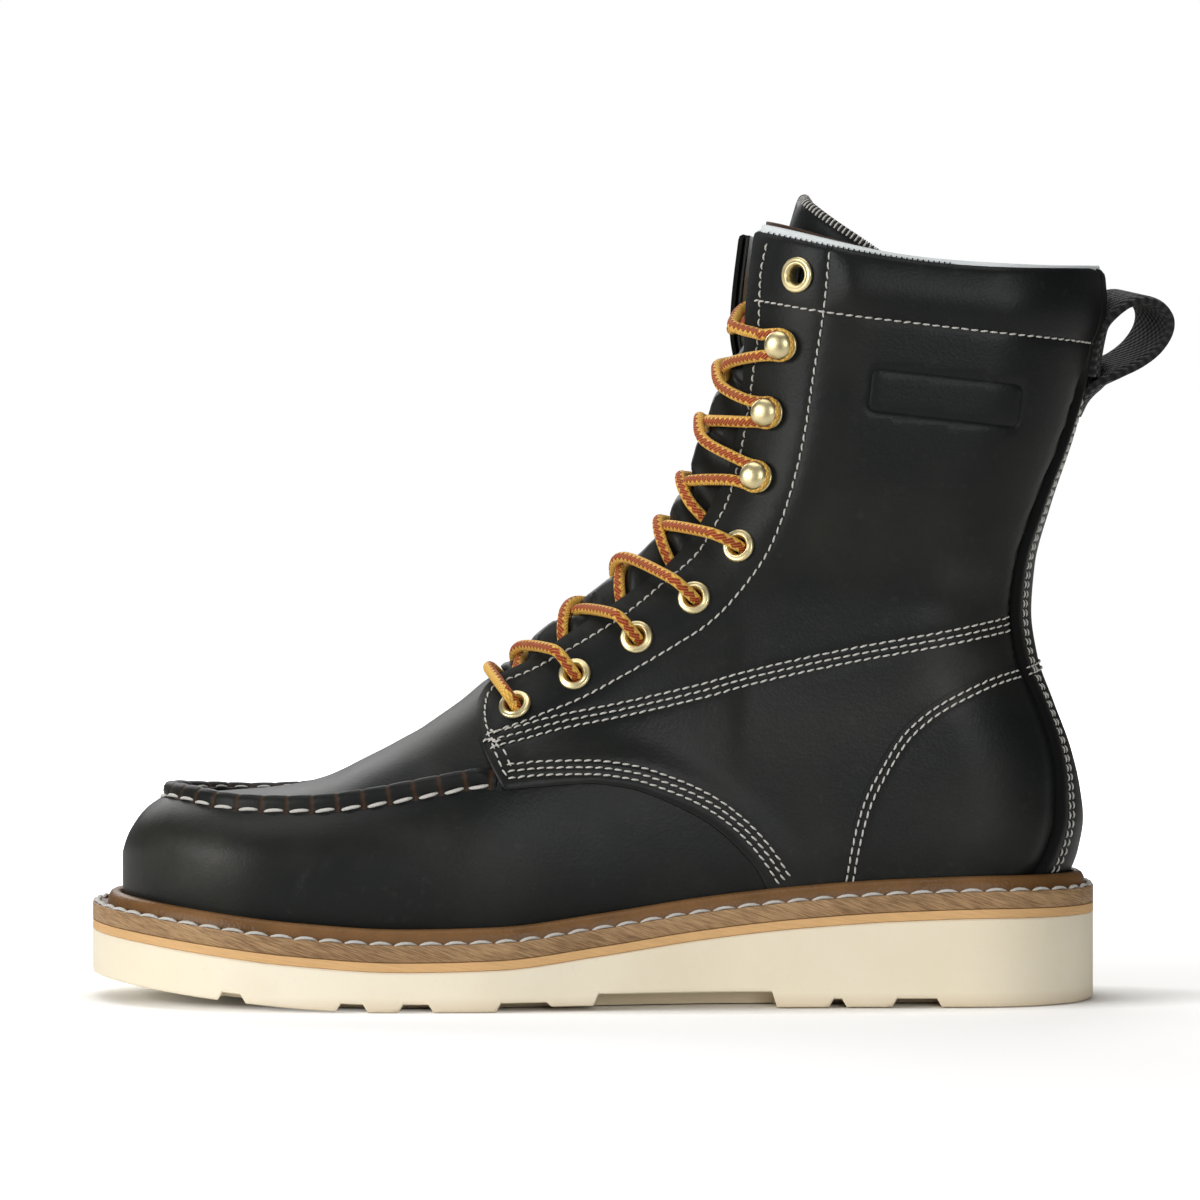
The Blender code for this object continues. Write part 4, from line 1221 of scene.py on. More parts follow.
def stamp_gap(x, z):
    """Signed distance from the rounded outline of the pressed frame, negative inside."""
    centre_x, centre_z, half_long, half_high, tilt = STAMP
    along, across = turned(x - centre_x, z - centre_z, -tilt)
    past_end = np.abs(along) - half_long + STAMP_CORNER
    past_side = np.abs(across) - half_high + STAMP_CORNER
    outside = np.hypot(np.maximum(past_end, 0), np.maximum(past_side, 0))
    return outside + np.minimum(np.maximum(past_end, past_side), 0) - STAMP_CORNER


def backstay_dip(x, z):
    """How far the panels sink beside the backstay's thick edge."""
    near = 1 - ramp(backstay_x_of(z) - x, -0.5, 5.5 - 3.2 * ramp(z, 88, 112))
    return BACKSTAY_DIP * near * (1 - ramp(z, *BACKSTAY_BLEND))


def flap_flare(x, z, side):
    """How far the medial flap opens forward near the collar."""
    if side == LATERAL:
        return 0 * x
    return FLAP_FLARE * ramp(z, 182, 205) * (1 - ramp(x - front_of(z), 4, 26))


def quarter_lift(x, z, side, grooves=True):
    """Height of the quarter over the last's form."""
    step = PANEL_STEP * (1 - ramp(line_distance(x, z, QUARTER_EDGE), 4, 16))
    lift = flap_flare(x, z, side) + step - backstay_dip(x, z)
    seam_z = np.interp(x, *COLLAR_SEAM.T)
    share = np.clip((z - seam_z) / (collar_height(x) - seam_z), 0, 1)
    lift = lift + COLLAR_PUFF * np.sin(np.pi * share ** 0.8) * ramp(x, 224, 232)
    lift = lift - crease_depth(x, z) - rim_roll(collar_height(x) + 0.3 - z)
    if side == LATERAL:
        gap = stamp_gap(x, z)
        lift = lift - 0.2 * (1 - ramp(gap, -0.6, 0.2)) - 0.45 * np.exp(-((gap + 0.5) / 0.6) ** 2)
    if grooves:
        lift = lift - groove_depth(x, z, QUARTER_LINES)
    return lift


def counter_lift(x, z, side):
    """Height of the heel counter over the last's form."""
    rise = ramp(line_distance(x, z, COUNTER_EDGE[::6]), 0.5, 6)
    return 0.1 + 0.45 * rise - backstay_dip(x, z) - groove_depth(x, z, COUNTER_ROWS)


def hole_ring(x, z, side):
    """Round hole of the leather on the side view: x, z."""
    normal = Vector(upper_normal(x, z, side))
    first = normal.orthogonal().normalized()
    second = normal.cross(first)
    angles = (2 * np.pi * np.arange(HOLE_SIDES) / HOLE_SIDES)[:, None]
    return (EYELET_HOLE * (np.cos(angles) * first + np.sin(angles) * second))[:, (0, 2)] + (x, z)


def hex_places(ring, step):
    """Even triangular spread of places inside a ring."""
    (left, low), (right, high) = ring.min(0), ring.max(0)
    rows = enumerate(np.arange(low, high, step * 0.866))
    places = np.vstack([rows_of(np.arange(left + k % 2 * step / 2, right, step), z) for k, z in rows])
    return places[inside(*places.T, ring)]


def thin_out(places, taken, least):
    """Places that keep a least distance from those taken."""
    tree = kdtree.KDTree(len(taken))
    for i, (x, z) in enumerate(taken):
        tree.insert((x, z, 0), i)
    tree.balance()
    return [tuple(p) for p in places if tree.find((*p, 0))[2] > least]


def panel(name, ring, lines, holes, lift, side, bands=()):
    """Leather panel from a counter-clockwise ring, with soft edges, grooves and holes."""
    inner = offset_line(np.vstack((ring[-1:], ring, ring[:1])), PANEL_EDGE)[1:-1]
    taken, edges = [], []
    for loop in (inner, *holes):
        first, count = len(taken), len(loop)
        edges += [(first + i, first + (i + 1) % count) for i in range(count)]
        taken += [tuple(p) for p in loop]
    for line in lines:
        for shift in (0, GROOVE_WIDTH, -GROOVE_WIDTH):
            row = resample(offset_line(line, shift), 1.5)
            row = row[inside(*row.T, inner)]
            taken += thin_out(row, taken, 0.45)
    taken += thin_out(hex_places(inner, PANEL_MESH), taken, PANEL_MESH * 0.55)
    flat, _, faces, origins, _, _ = geometry.delaunay_2d_cdt([Vector(p) for p in taken], edges, [], 1, 1e-5)
    flat = np.array(flat)
    new_index = {old: new for new, olds in enumerate(origins) for old in olds}
    middles = np.array([flat[list(face)].mean(0) for face in faces])
    cut = sum((inside(*middles.T, hole) for hole in holes), np.zeros(len(faces)))
    kept = [tuple(face) for face, gone in zip(faces, cut) if not gone]
    top = on_side(*flat.T, side, lift(*flat.T, side))
    rim = on_side(*ring.T, side, lift(*ring.T, side) - PANEL_EDGE * 0.8)
    kept += [(new_index[i], len(flat) + i, len(flat) + j, new_index[j]) for i, j in edges[:len(ring)]]
    if side == MEDIAL:
        kept = [face[::-1] for face in kept]
    piece = new_piece(name, np.vstack((top, rim)), kept, black_leather())
    with opened_mesh(piece) as built:
        bmesh.ops.delete(built, geom=[vert for vert in built.verts if not vert.link_faces], context="VERTS")
    apply_modifier(piece, "SOLIDIFY", thickness=PANEL_THICKNESS * MM, offset=-1)
    crisp(piece, 48)
    mark_haze(piece, bands)
    return piece


def feather_stations(count):
    """Places along the upper's lower edge."""
    return spread(toe_of(welt_top(TOP_LINE[0][0])), back_of(welt_top(BACK_LINE[0][1])), count)


def base_lift(x, z, side):
    """The vamp lies on the last's form and sinks under the quarter."""
    under = inside(x, z, QUARTER_RINGS[side]) | (x > 250)
    depth = np.where(under, line_distance(x, z, QUARTER_EDGE), 0)
    sink = BASE_SINK * ramp(depth, 1, 7)
    return flap_flare(x, z, side) - sink - crease_depth(x, z) * (1 - ramp(x, 150, 170))


def plug_dip(x, z, side):
    """How far the plug lies below the last's form inside the moc seam."""
    rim = moc_half_of(np.clip(x, MOC_SEAM[0][0], None)) * (MOC_MEDIAL_SHARE if side == MEDIAL else 1)
    within = 1 - ramp(half_width(x, z, side), rim - 6, rim)
    widest = welt_top(x) + WIDEST_ABOVE_WELT
    on_foot = ramp(z, widest, widest + 6)
    return PLUG_DIP * within * on_foot * ramp(x, 25, 33) * (1 - ramp(x, 62, 88))


def base_half(side, feather, back, columns):
    """Points of one half of the vamp and shaft, row by row from toe to collar."""
    xs = feather_stations(feather)
    vamp = int((xs <= THROAT_X).sum())
    total = feather + back
    k = np.arange(total + 1)
    share = np.clip((k - vamp + 1) / (total - vamp + 1), 0, 1)
    vamp_x = xs[np.minimum(k, feather)]
    ahead = k < vamp
    s = np.where(ahead, 0, THROAT_S + (FRONT_S - THROAT_S) * share)
    head = rows_of(np.where(ahead, vamp_x, front_x_at(s)), np.where(ahead, top_of(vamp_x), front_z_at(s)))
    climb = np.clip((k - feather) / back, 0, 1)
    seat = welt_top(xs[-1])
    back_z = seat + (COLLAR_BACK[1] - seat) * climb
    low = k <= feather
    foot = rows_of(np.where(low, vamp_x, back_of(back_z)), np.where(low, welt_top(vamp_x), back_z))
    slot = np.where(ahead, 0, slot_half(s))

    def narrow(share):
        place = head + (foot - head) * share[:, None]
        return half_width(*place.T, side) < slot

    opened = halved(np.zeros(total + 1), np.full(total + 1, 0.5), narrow)[0]
    start = np.where(slot > 0, opened, 0)[:, None]
    closing = ramp(k, feather * 0.8, feather)[:, None]
    t = np.linspace(0, 1, columns + 1)[None]
    opened, closed = 1 - np.cos(np.pi * t / 2), (1 - np.cos(np.pi * t)) / 2
    part = start + (1 - start) * (opened + (closed - opened) * closing)
    x = head[:, :1] + (foot - head)[:, :1] * part
    z = head[:, 1:] + (foot - head)[:, 1:] * part - COLLAR_DIP * climb[:, None] ** 2 * 4 * part * (1 - part)
    lift = base_lift(x, z, side) - plug_dip(x, z, side)
    grid = on_side(x, z, side, lift)
    grid[0] = rows_of(toe_of(z[0]), bow(toe_of(z[0])), z[0])
    on_top = slot == 0
    top_x, top_z = x[on_top, 0], z[on_top, 0]
    sunk_z = top_z - crease_depth(top_x, top_z) - plug_dip(top_x, top_z, side)
    grid[on_top, 0] = rows_of(top_x, bow(top_x), sunk_z)
    grid[feather:, -1, 0] = x[feather:, -1] - BASE_SINK
    grid[feather:, -1, 1] = 0
    skirt = grid[:feather + 1, -1:].copy()
    skirt[..., 2] = upper_bottom(skirt[..., 0])
    return grid, skirt


# Rows along the feather line, rows up the back and columns of each half of the vamp
VAMP_GRID = (210, 60, 58)


def make_vamp():
    """Vamp, plug and inner wall of the shaft, with the lining inside."""
    feather, back, columns = VAMP_GRID
    points, faces, count = [], [], 0
    for side, _ in SIDES:
        grid, skirt = base_half(side, feather, back, columns)
        quads = grid_faces(len(grid), columns + 1, first=count)
        points.append(grid.reshape(-1, 3))
        below = count + grid[..., 0].size
        i = np.arange(feather)
        edge = count + i * (columns + 1) + columns
        strip = rows_of(edge, below + i, below + i + 1, edge + columns + 1)
        points.append(skirt.reshape(-1, 3))
        count = below + len(skirt)
        both = np.vstack((quads, strip))
        faces.append(both if side == LATERAL else both[:, ::-1])
    piece = new_piece("vamp_and_shaft", np.vstack(points), np.vstack(faces), black_leather())
    holes = [Vector(to_row(on_side(x, z, side))) for side, _ in SIDES for x, z in EYELETS]
    with opened_mesh(piece) as built:
        bmesh.ops.remove_doubles(built, verts=built.verts, dist=VAMP_WELD * MM)
        gone = [face for face in built.faces
                if any((face.calc_center_median() - hole).length < VAMP_HOLE * MM for hole in holes)]
        bmesh.ops.delete(built, geom=gone, context="FACES")
        bmesh.ops.recalc_face_normals(built, faces=built.faces)
    piece.data.materials.append(lining_cloth())
    apply_modifier(piece, "SOLIDIFY", thickness=BASE_WALL * MM, offset=-1, material_offset=1)
    piece.data.shade_smooth()
    mark_haze(piece)
    settle(piece, "leather", "upper")


QUARTER_RINGS = {side: quarter_ring(side) for side, _ in SIDES}


def make_quarters():
    """Quarters with eyelet holes, grooves and the blank pressed frame."""
    for side, label in SIDES:
        holes = [hole_ring(x, z, side) for x, z in EYELETS]
        rim_x = np.linspace(206, 300, 80)
        lines = QUARTER_LINES + [rows_of(rim_x, collar_height(rim_x) - 1.2)]
        if side == LATERAL:
            lines = lines + [stamp_outline()]
        bands = ((flap_edge(side), 5, -1.3), (QUARTER_EDGE, 0.35, 0.7))
        piece = panel(f"quarter_{label}", QUARTER_RINGS[side], lines, holes, quarter_lift, side, bands)
        settle(piece, "leather")


def stamp_outline():
    """Middle line of the pressed frame's groove: x, z."""
    centre_x, centre_z, half_long, half_high, tilt = STAMP
    corner = STAMP_CORNER - 0.5
    arc = np.linspace(0, np.pi / 2, 7)
    line = []
    for quadrant, (sx, sz) in enumerate(((1, 1), (-1, 1), (-1, -1), (1, -1))):
        turn = arc + quadrant * np.pi / 2
        line += [(sx * (half_long - 0.5 - corner) + corner * math.cos(a),
                  sz * (half_high - 0.5 - corner) + corner * math.sin(a)) for a in turn]
    along, across = np.array(line + line[:1]).T
    return rows_of(*turned(along, across, tilt)) + (centre_x, centre_z)


def make_counters():
    """Heel counters on both sides, tucked under the backstay."""
    seat = seat_edge(COUNTER_EDGE[0, 0], backstay_x_of(34) + REAR_TUCK, 40)
    rear = rear_edge(seat[-1, 1] + 1, COUNTER_EDGE[-1, 1] + 2, 60)
    ring = resample(np.vstack((seat, rear, COUNTER_EDGE[::-1])), 1.2, closed=True)
    for side, label in SIDES:
        settle(panel(f"heel_counter_{label}", ring, COUNTER_ROWS, [], counter_lift, side), "leather")


def make_backstay():
    """Strip up the back seam with thick rolled edges."""
    z = np.linspace(30, COLLAR_BACK[1], 160)
    t = np.sin(np.linspace(-1, 1, 41) * np.pi / 2)
    half = backstay_half_of(z)
    y = half[:, None] * t[None]
    edge = half[:, None] * (1 - np.abs(t))[None]
    flush = ramp(z, *BACKSTAY_BLEND)[:, None]
    thick = 0.35 - 2.6 * (1 - rounded(edge, 2.2, 2.4)) + 0.3 * np.exp(-((edge - 2.6) / 1.6) ** 2)
    seam_z = COLLAR_LINE[-1][1]
    share = np.clip((z - seam_z) / (COLLAR_BACK[1] - seam_z), 0, 1)
    thin = 0.22 - 0.4 * (1 - rounded(edge, 1.5, 2)) + (
        COLLAR_PUFF * np.sin(np.pi * share ** 0.8) - rim_roll(COLLAR_BACK[1] - z))[:, None]
    lift = thick + (thin - thick) * flush
    row_gap = np.minimum(np.abs(edge - BACKSTAY_STITCH_IN), np.abs(edge - BACKSTAY_STITCH_IN - ROW_SPACING))
    lift = lift - GROOVE_DEPTH * np.exp(-(row_gap / GROOVE_WIDTH) ** 2) * (1 - flush)
    grid, _ = behind(y, z[:, None], lift)
    piece = new_sheet("backstay", grid, edged_leather())
    # Near-black along both thick edges, fading where the strip lies flush: painted shade of the dark band
    # beside the stitches
    mark(piece, "mark", (1 - ramp(edge, 1.4, 2.8)) * (1 - flush))
    apply_modifier(piece, "SOLIDIFY", thickness=PANEL_THICKNESS * MM, offset=-1)
    crisp(piece, 55)
    settle(piece, "leather")


def stitch_piece(name, runs, pitch, length, width, height):
    """One mesh of all stitches along several runs (path, normals)."""
    rows = [stitches_on(path, normals, pitch, length) for path, normals in runs]
    centres, tangents, normals = (np.vstack(column) for column in zip(*rows))
    points, faces = stitch_mesh(centres, tangents, normals, length, width, height)
    return new_piece(name, points, faces, sewing_thread())


def side_run(line, side, lift, above):
    """Path and normals of a stitch line on a panel, a little above its face."""
    x, z = line.T
    return on_side(x, z, side, lift(x, z, side) + above), upper_normal(x, z, side)


def make_panel_stitches():
    """White stitching of quarters, counters and backstay."""
    size = sizes()
    pitch, length, radius = (v / MM for v in (size.stitch_pitch, size.stitch_length, size.stitch_radius))
    for side, label in SIDES:
        runs = [side_run(line[::2], side, quarter_lift, 0.08) for line in QUARTER_LINES]
        runs += [side_run(line[::2], side, counter_lift, 0.08) for line in COUNTER_ROWS]
        for row in range(2):
            z = np.linspace(36, 183, 200)
            y = side * (backstay_half_of(z) - BACKSTAY_STITCH_IN - row * ROW_SPACING)
            runs.append(behind(y, z, 0.28))
            y = side * np.linspace(backstay_half_of(99) - 0.4, 0, 40)
            z = 100.6 + ROW_SPACING * row - 2 * (y / 20) ** 2
            runs.append(behind(y, z, 0.45))
        settle(stitch_piece(f"stitches_{label}", runs, pitch, length, radius, radius), "lace")
        runs = [side_run(smooth_line(line), side, quarter_lift, 0.35) for line in TACK_LINES]
        settle(stitch_piece(f"corner_tack_{label}", runs, *TACK_STITCH, radius * 1.2, radius * 1.2), "lace")


# Moc seam

def moc_path():
    """Path of the moc seam with its forward, outward and sideways directions."""
    lateral = [(x, -half) for x, half in reversed(MOC_SEAM)]
    medial = [(x, half * MOC_MEDIAL_SHARE) for x, half in MOC_SEAM[1:]]
    plan = rope_line(lateral + medial, MOC_STEP)
    x, y = plan.T
    half = np.maximum(np.abs(y), 0.6)
    z = by_side(height_on_upper, y, x, half)
    normal = by_side(upper_normal, y, x, z)
    normal[:, 1] *= ramp(np.abs(y), 0, 6)
    path = eased(rows_of(x, bow(x) + y, z), 15)
    normal = eased(unit(normal), 15)
    ahead = heading(path)
    normal = unit(normal - ahead * (normal * ahead).sum(1, keepdims=True))
    return path, ahead, normal, np.cross(normal, ahead)


# Section of the moc ridge from the stitched side to the plug: place out from the seam, height
MOC_SECTION = (
    (4.3, -0.6), (3.7, 0.25), (3, 0.1), (2.6, 0.8), (2.2, 2), (1.4, 3.1), (0.2, 3.7), (-1, 3.5),
    (-1.9, 2.7), (-2.4, 1.5), (-2.7, 0.5), (-3.1, 0), (-3.8, -0.6),
)
# Stitches of the moc seam, outside and on the far inner side: length, half-width, half-height
MOC_STITCH = (6, 0.58, 0.46)
MOC_FAR_STITCH = (4.2, 0.34, 0.3)


def make_moc_ridge():
    """Gathered ridge round the plug and its heavy white stitches."""
    path, ahead, normal, side_way = moc_path()
    outside = np.where((side_way * (path - path.mean(0))).sum(1, keepdims=True) < 0, -1, 1) * side_way
    lengths = chord_lengths(path)
    pitch = sizes().moc_pitch / MM
    count = int(lengths[-1] / pitch)
    knots = (np.arange(count) + 0.5) * lengths[-1] / count
    gap = np.abs(lengths[:, None] - knots[None]).min(1)
    pinch = np.exp(-(gap / 0.55) ** 2)
    swell = 1 + 0.02 * np.cos(2 * np.pi * (lengths - knots[0]) / (lengths[-1] / count) + np.pi)
    section = np.array(MOC_SECTION)
    high = section[:, 1] > 0.6
    rise = section[None, :, 1] * np.where(high, swell[:, None], 1) - 0.2 * pinch[:, None] * high
    out = section[None, :, 0] * np.where(high, 1 - 0.06 * pinch[:, None], 1)
    rise = rise * (1 - 0.75 * ramp(path[:, 0], 119, 126))[:, None]
    rise = rise * (1 - 0.3 * ramp(path[:, 1], 4, 22))[:, None]
    grid = path[:, None] + outside[:, None] * out[..., None] + normal[:, None] * rise[..., None]
    piece = new_bar("moc_ridge", grid, moc_leather())
    mark(piece, "mark", np.repeat(pinch * 0.9, len(section)))
    settle(piece, "leather", "moc_seam")
    starts = (knots[:-1] + knots[1:]) / 2
    starts = starts[np.interp(starts, lengths, path[:, 0]) < 121]
    run = read_at(lengths, path + outside * 3.25 + normal * 0.35, starts)
    way = read_at(lengths, ahead, starts)
    up = unit(read_at(lengths, normal + outside * 0.7, starts))
    out = read_at(lengths, outside, starts)
    way = unit(way - out * 0.10 * np.sign(way[:, :1]))
    points, faces = stitch_mesh(run, way, up, *MOC_STITCH)
    far = (run[:, 1] > -8) & (run[:, 0] < 60)
    more, quads = stitch_mesh((run - out * 6.2 + up * 0.2)[far], way[far], up[far], *MOC_FAR_STITCH)
    faces += [tuple(np.add(quad, len(points))) for quad in quads]
    settle(new_piece("moc_stitches", np.vstack((points, more)), faces, sewing_thread()), "lace")


# Lace

# Running length and place of each eyelet and hook pair: s, x, z
LACING = [(front_length_at(x, z), x, z) for x, z in LOW_EYELETS + HOOKS + (TOP_EYELET,)]


def trim_frame(x, z, side):
    """Seat on the quarter: middle, outward, up along the lacing and towards the throat."""
    seat = on_side(x, z, side, quarter_lift(x, z, side, grooves=False))
    normal = upper_normal(x, z, side)
    up = front_frame(front_length_at(x, z))[1]
    up = unit(up - normal * np.dot(up, normal))
    front = np.cross(up, normal)
    return seat, normal, up, front * -np.sign(front[0])


def crossing_points(number, side, over):
    """Loose points of a strand over the tongue: s, y, lift."""
    low_s, high_s = LACING[number - 1][0], LACING[number][0]
    cross_s, cross_lift = CROSSINGS[number - 1]
    middle = cross_lift if over else cross_lift - STRAND_DROP
    start_s = low_s + (4.5 if number == 1 else 0.8)
    return [
        (start_s - 0.5, side * (SLOT_HALF + 3.5), -5.4), (start_s, side * (SLOT_HALF - 0.3), -4.1),
        (start_s + (cross_s - start_s) * 0.45, side * 8, -4.1 + (middle + 4.1) * 0.62),
        (cross_s, 0, middle),
        (cross_s + (high_s - cross_s) * 0.32, -side * 8, middle * 0.8 + 0.4),
    ]


def eyelet_end(number, side):
    """Last points of a strand that goes into an eyelet from outside, in space."""
    _, x, z = LACING[number]
    seat, normal, up, front = trim_frame(x, z, side)
    return [seat + normal * out + front * ahead + up * climb for out, ahead, climb in EYELET_ENTRY]


def hook_turn(number, side):
    """Points of a strand that wraps behind a hook from below, in space."""
    _, x, z = LACING[number]
    seat, normal, up, front = trim_frame(x, z, side)
    height, wrap, degrees = HOOK_STRAND
    high = seat + normal * height
    angles = np.radians(degrees)
    turns = [high - front * wrap * math.cos(angle) + up * wrap * math.sin(angle) for angle in angles]
    return [high + front * 9 - up * 3.4] + turns + [high + front * 9 + up * 3.4]


def low_strands():
    """Bottom bar and the strands between the low eyelets, as paths in space."""
    s = LACING[0][0]
    bar = eyelet_end(0, LATERAL)[::-1][:-1]
    bar += [over_throat(s - 0.5, y, lift) for y, lift in ((-12, 2.8), (0, 2.6), (12, 2.8))]
    bar += eyelet_end(0, MEDIAL)[1:]
    paths = [rope_line(bar)]
    for number in range(1, len(LOW_EYELETS)):
        for side, _ in SIDES:
            over = (number % 2 == 0) == (side == LATERAL)
            loose = [over_throat(*place) for place in crossing_points(number, side, over)]
            paths.append(eased(rope_line(loose + eyelet_end(number, -side)), 11))
    return paths


def high_strands():
    """The two strands that go on round the hooks, as paths in space."""
    paths = []
    first = len(LOW_EYELETS)
    for start, _ in SIDES:
        side = start
        over = side == LATERAL
        loose = [over_throat(*place) for place in crossing_points(first, side, over)]
        for number in range(first, first + len(HOOKS)):
            loose += hook_turn(number, -side)
            side = -side
            if number + 1 < first + len(HOOKS):
                cross_s, lift = CROSSINGS[number]
                over = not over
                lift = lift if over else lift - STRAND_DROP
                low_s, high_s = LACING[number][0], LACING[number + 1][0]
                loose += [over_throat(low_s + 0.62 * (cross_s - low_s), side * 9, lift * 0.75 + 0.6),
                          over_throat(cross_s, 0, lift),
                          over_throat(high_s + 0.62 * (cross_s - high_s), -side * 9, lift * 0.75 + 0.6)]
        tail = lace_end_path(side)
        paths.append(eased(rope_line(loose[:-2] + [tail[0], tail[3]]), 7))
    return paths


def lace_end_path(side):
    """Route of a hidden end from the top hook down behind the other flap."""
    hook_s, top_s = LACING[-2][0], LACING[-1][0]
    hook_half, top_half = half_width(*HOOKS[-1], side), half_width(*TOP_EYELET, -side)
    step = LACE_END_STEP[side]
    route = [(hook_s + HOOK_WRAP, side * (hook_half - HOOK_CLEAR), 2.5)]
    route += [(hook_s + up, side * across, lift + share * step) for up, across, lift, share in LACE_END]
    route.append((top_s, -side * (top_half - LACE_END_IN), LACE_END[-1][2]))
    return rope_line([over_throat(*place) for place in route])


def make_lace():
    """Round braided lace: bar, crossings, turns round the hooks and the two hidden ends."""
    braid = braided_lace()
    radius = sizes().lace_diameter / MM / 2
    points, faces, uv = joined_tubes(low_strands() + high_strands(), radius)
    piece = new_piece("lace", points, faces, braid, uv)
    settle(piece, "lace", "lace_bar", *[f"lace_cross_{i}" for i in range(1, len(CROSSINGS) + 1)])
    for side, label in SIDES:
        path = lace_end_path(side)
        points, faces, uv = joined_tubes([path], radius)
        end = new_piece(f"lace_tail_{label}", points, faces, braid, uv)
        settle(end, "lace", f"lace_end_{label}")


# Tongue

def strand_samples():
    """Places of the strands over the tongue: s, y, lift of their middle."""
    samples = []
    for number in range(1, len(CROSSINGS) + 1):
        for side, _ in SIDES:
            over = (number % 2 == 0) == (side == LATERAL)
            samples.append(rope_line(crossing_points(number, side, over), 1))
    samples = np.vstack(samples)
    return samples[np.abs(samples[:, 1]) < SLOT_HALF]


def tongue_lift(s, y, strands):
    """Height of the tongue's face: puffed between the strands, pressed down under them."""
    z = front_z_at(np.minimum(s, FRONT_S)) + np.maximum(s - FRONT_S, 0)
    under = -(BASE_SINK + BASE_WALL + 1.6)
    bulge = np.maximum(bulge_of(z), under)
    opening = slot_half(s - 4)
    edge = np.where(opening > 6, ramp(np.abs(y), opening - 7, opening + 1), 1)
    lift = bulge + (under - bulge) * edge
    flat = rows_of(np.ravel(s), np.ravel(y))
    gaps = np.linalg.norm(flat[:, None] - strands[None, :, :2], axis=-1)
    limit = (strands[None, :, 2] - 1.7 + 0.16 * gaps ** 2).min(1).reshape(np.shape(lift))
    soft = 0.8
    pressed = -soft * np.log(np.exp(-lift / soft) + np.exp(-np.minimum(limit, 40) / soft))
    lean = np.minimum(bulge_of(z) - under, 0)
    return pressed, lean


TONGUE_GRID = (130, 45)


def make_tongue():
    """Padded tongue behind the throat with an overlocked top edge."""
    rows, columns = TONGUE_GRID
    strands = strand_samples()
    t = np.linspace(-1, 1, columns)
    start = THROAT_S - TONGUE_ROOT
    top = FRONT_S + TONGUE_ABOVE_COLLAR - TONGUE_WING_DROP * np.abs(t) ** 1.75
    s_grid = start + (top - start)[None] * np.linspace(0, 1, rows)[:, None]
    z = front_z_at(np.minimum(s_grid, FRONT_S)) + np.maximum(s_grid - FRONT_S, 0)
    y = tongue_half_of(z) * t[None]
    lift, lean = tongue_lift(s_grid, y, strands)
    place, normal = throat_place(s_grid, y)
    out = front_frame(s_grid)[2]
    face = place + normal * lift[..., None] + out * lean[..., None]
    top_edge = rounded(top[None] - s_grid, 3, 2)
    thick = (2.4 + 2.8 * (1 - t ** 2))[None] * (0.45 + 0.55 * top_edge)
    face = face - normal * (1 - top_edge)[..., None]
    face[..., 0] += TONGUE_WRAP * t[None] ** 2 * ramp(s_grid, FRONT_S - 45, FRONT_S)
    back = face - normal * thick[..., None]
    ring = np.concatenate((face, back[:, ::-1]), axis=1)
    piece = new_bar("tongue_pad", ring, black_leather(), WELD)
    crisp(piece, 60)
    settle(piece, "leather", "tongue")
    edge = (face[-1] + back[-1]) / 2
    make_overlock(edge, unit(face[-1] - face[-3]), unit(face[-1] - back[-1]))


def make_overlock(edge, up, through):
    """Overlock threads over the tongue's top edge, dark and white by turns."""
    lengths = chord_lengths(edge)
    for label, material, start in (("dark", dark_thread(), 0), ("white", sewing_thread(), 0.85)):
        paths = []
        for at in np.arange(1.5 + start, lengths[-1] - 2.5, 1.7):
            over, across = read_at(lengths, up, at), read_at(lengths, through, at)
            centre, ahead = read_at(lengths, edge, at), read_at(lengths, edge, at + 1.4)
            paths.append(rope_line([
                centre + across * 1.3 - over * 1.3, centre + across * 1.15 - over * 0.2,
                (centre + ahead) / 2 + over * 0.35, ahead - across * 1.15 - over * 0.2,
                ahead - across * 1.3 - over * 1.3], 0.7))
        points, faces, _ = joined_tubes(paths, 0.33, 6)
        settle(new_piece(f"tongue_overlock_{label}", points, faces, material), "lace")


# Trim

# Eyelet from the foot of its barrel over the rolled flange: radius, height over the leather
EYELET_SECTION = (
    (2.3, -2.6), (2.35, -0.7), (2.6, 0.3), (2.95, 0.95), (3.25, 1.28), (3.5, 1.32), (3.75, 1.12),
    (4, 0.98), (4.4, 1), (4.8, 0.82), (5.02, 0.42), (5.04, 0.05), (4.7, -0.2), (3.4, -0.2), (3.4, -2.6),
)
TOP_EYELET_SCALE = 1.08
SPIN_STEPS = 36
HOOK_LEAN = 0.5
# Speed hook from the crown of its head down to its plate: radius, height over the leather
HOOK_SECTION = (
    (0, 6.4), (1, 6.36), (2, 6.22), (3, 5.88), (3.75, 5.4), (4.2, 4.75), (4.35, 4.1), (4.2, 3.75),
    (3.4, 3.7), (2.2, 3.8), (1.8, 3.4), (1.7, 2.6), (1.8, 1.4), (2.3, 0.95), (3.6, 0.9), (4.4, 0.75),
    (4.6, 0.4), (4.55, 0.05), (0, 0),
)


def spun(name, section, closed, material):
    """Turned piece from a section, spun about its axis in edit mode."""
    mesh = bpy.data.meshes.new(name)
    edges = [(i, i + 1) for i in range(len(section) - 1)]
    if closed:
        edges.append((len(section) - 1, 0))
    mesh.from_pydata([(radius * MM, 0, height * MM) for radius, height in section], edges, [])
    mesh.materials.append(material)
    piece = link_new(name, mesh)
    only(piece)
    bpy.ops.object.mode_set(mode="EDIT")
    bpy.ops.mesh.select_all(action="SELECT")
    bpy.ops.mesh.spin(steps=SPIN_STEPS, angle=2 * math.pi, center=(0, 0, 0), axis=(0, 0, 1))
    bpy.ops.mesh.select_all(action="SELECT")
    bpy.ops.mesh.remove_doubles(threshold=0.00001)
    bpy.ops.mesh.normals_make_consistent(inside=False)
    bpy.ops.object.mode_set(mode="OBJECT")
    mesh.shade_smooth()
    return piece


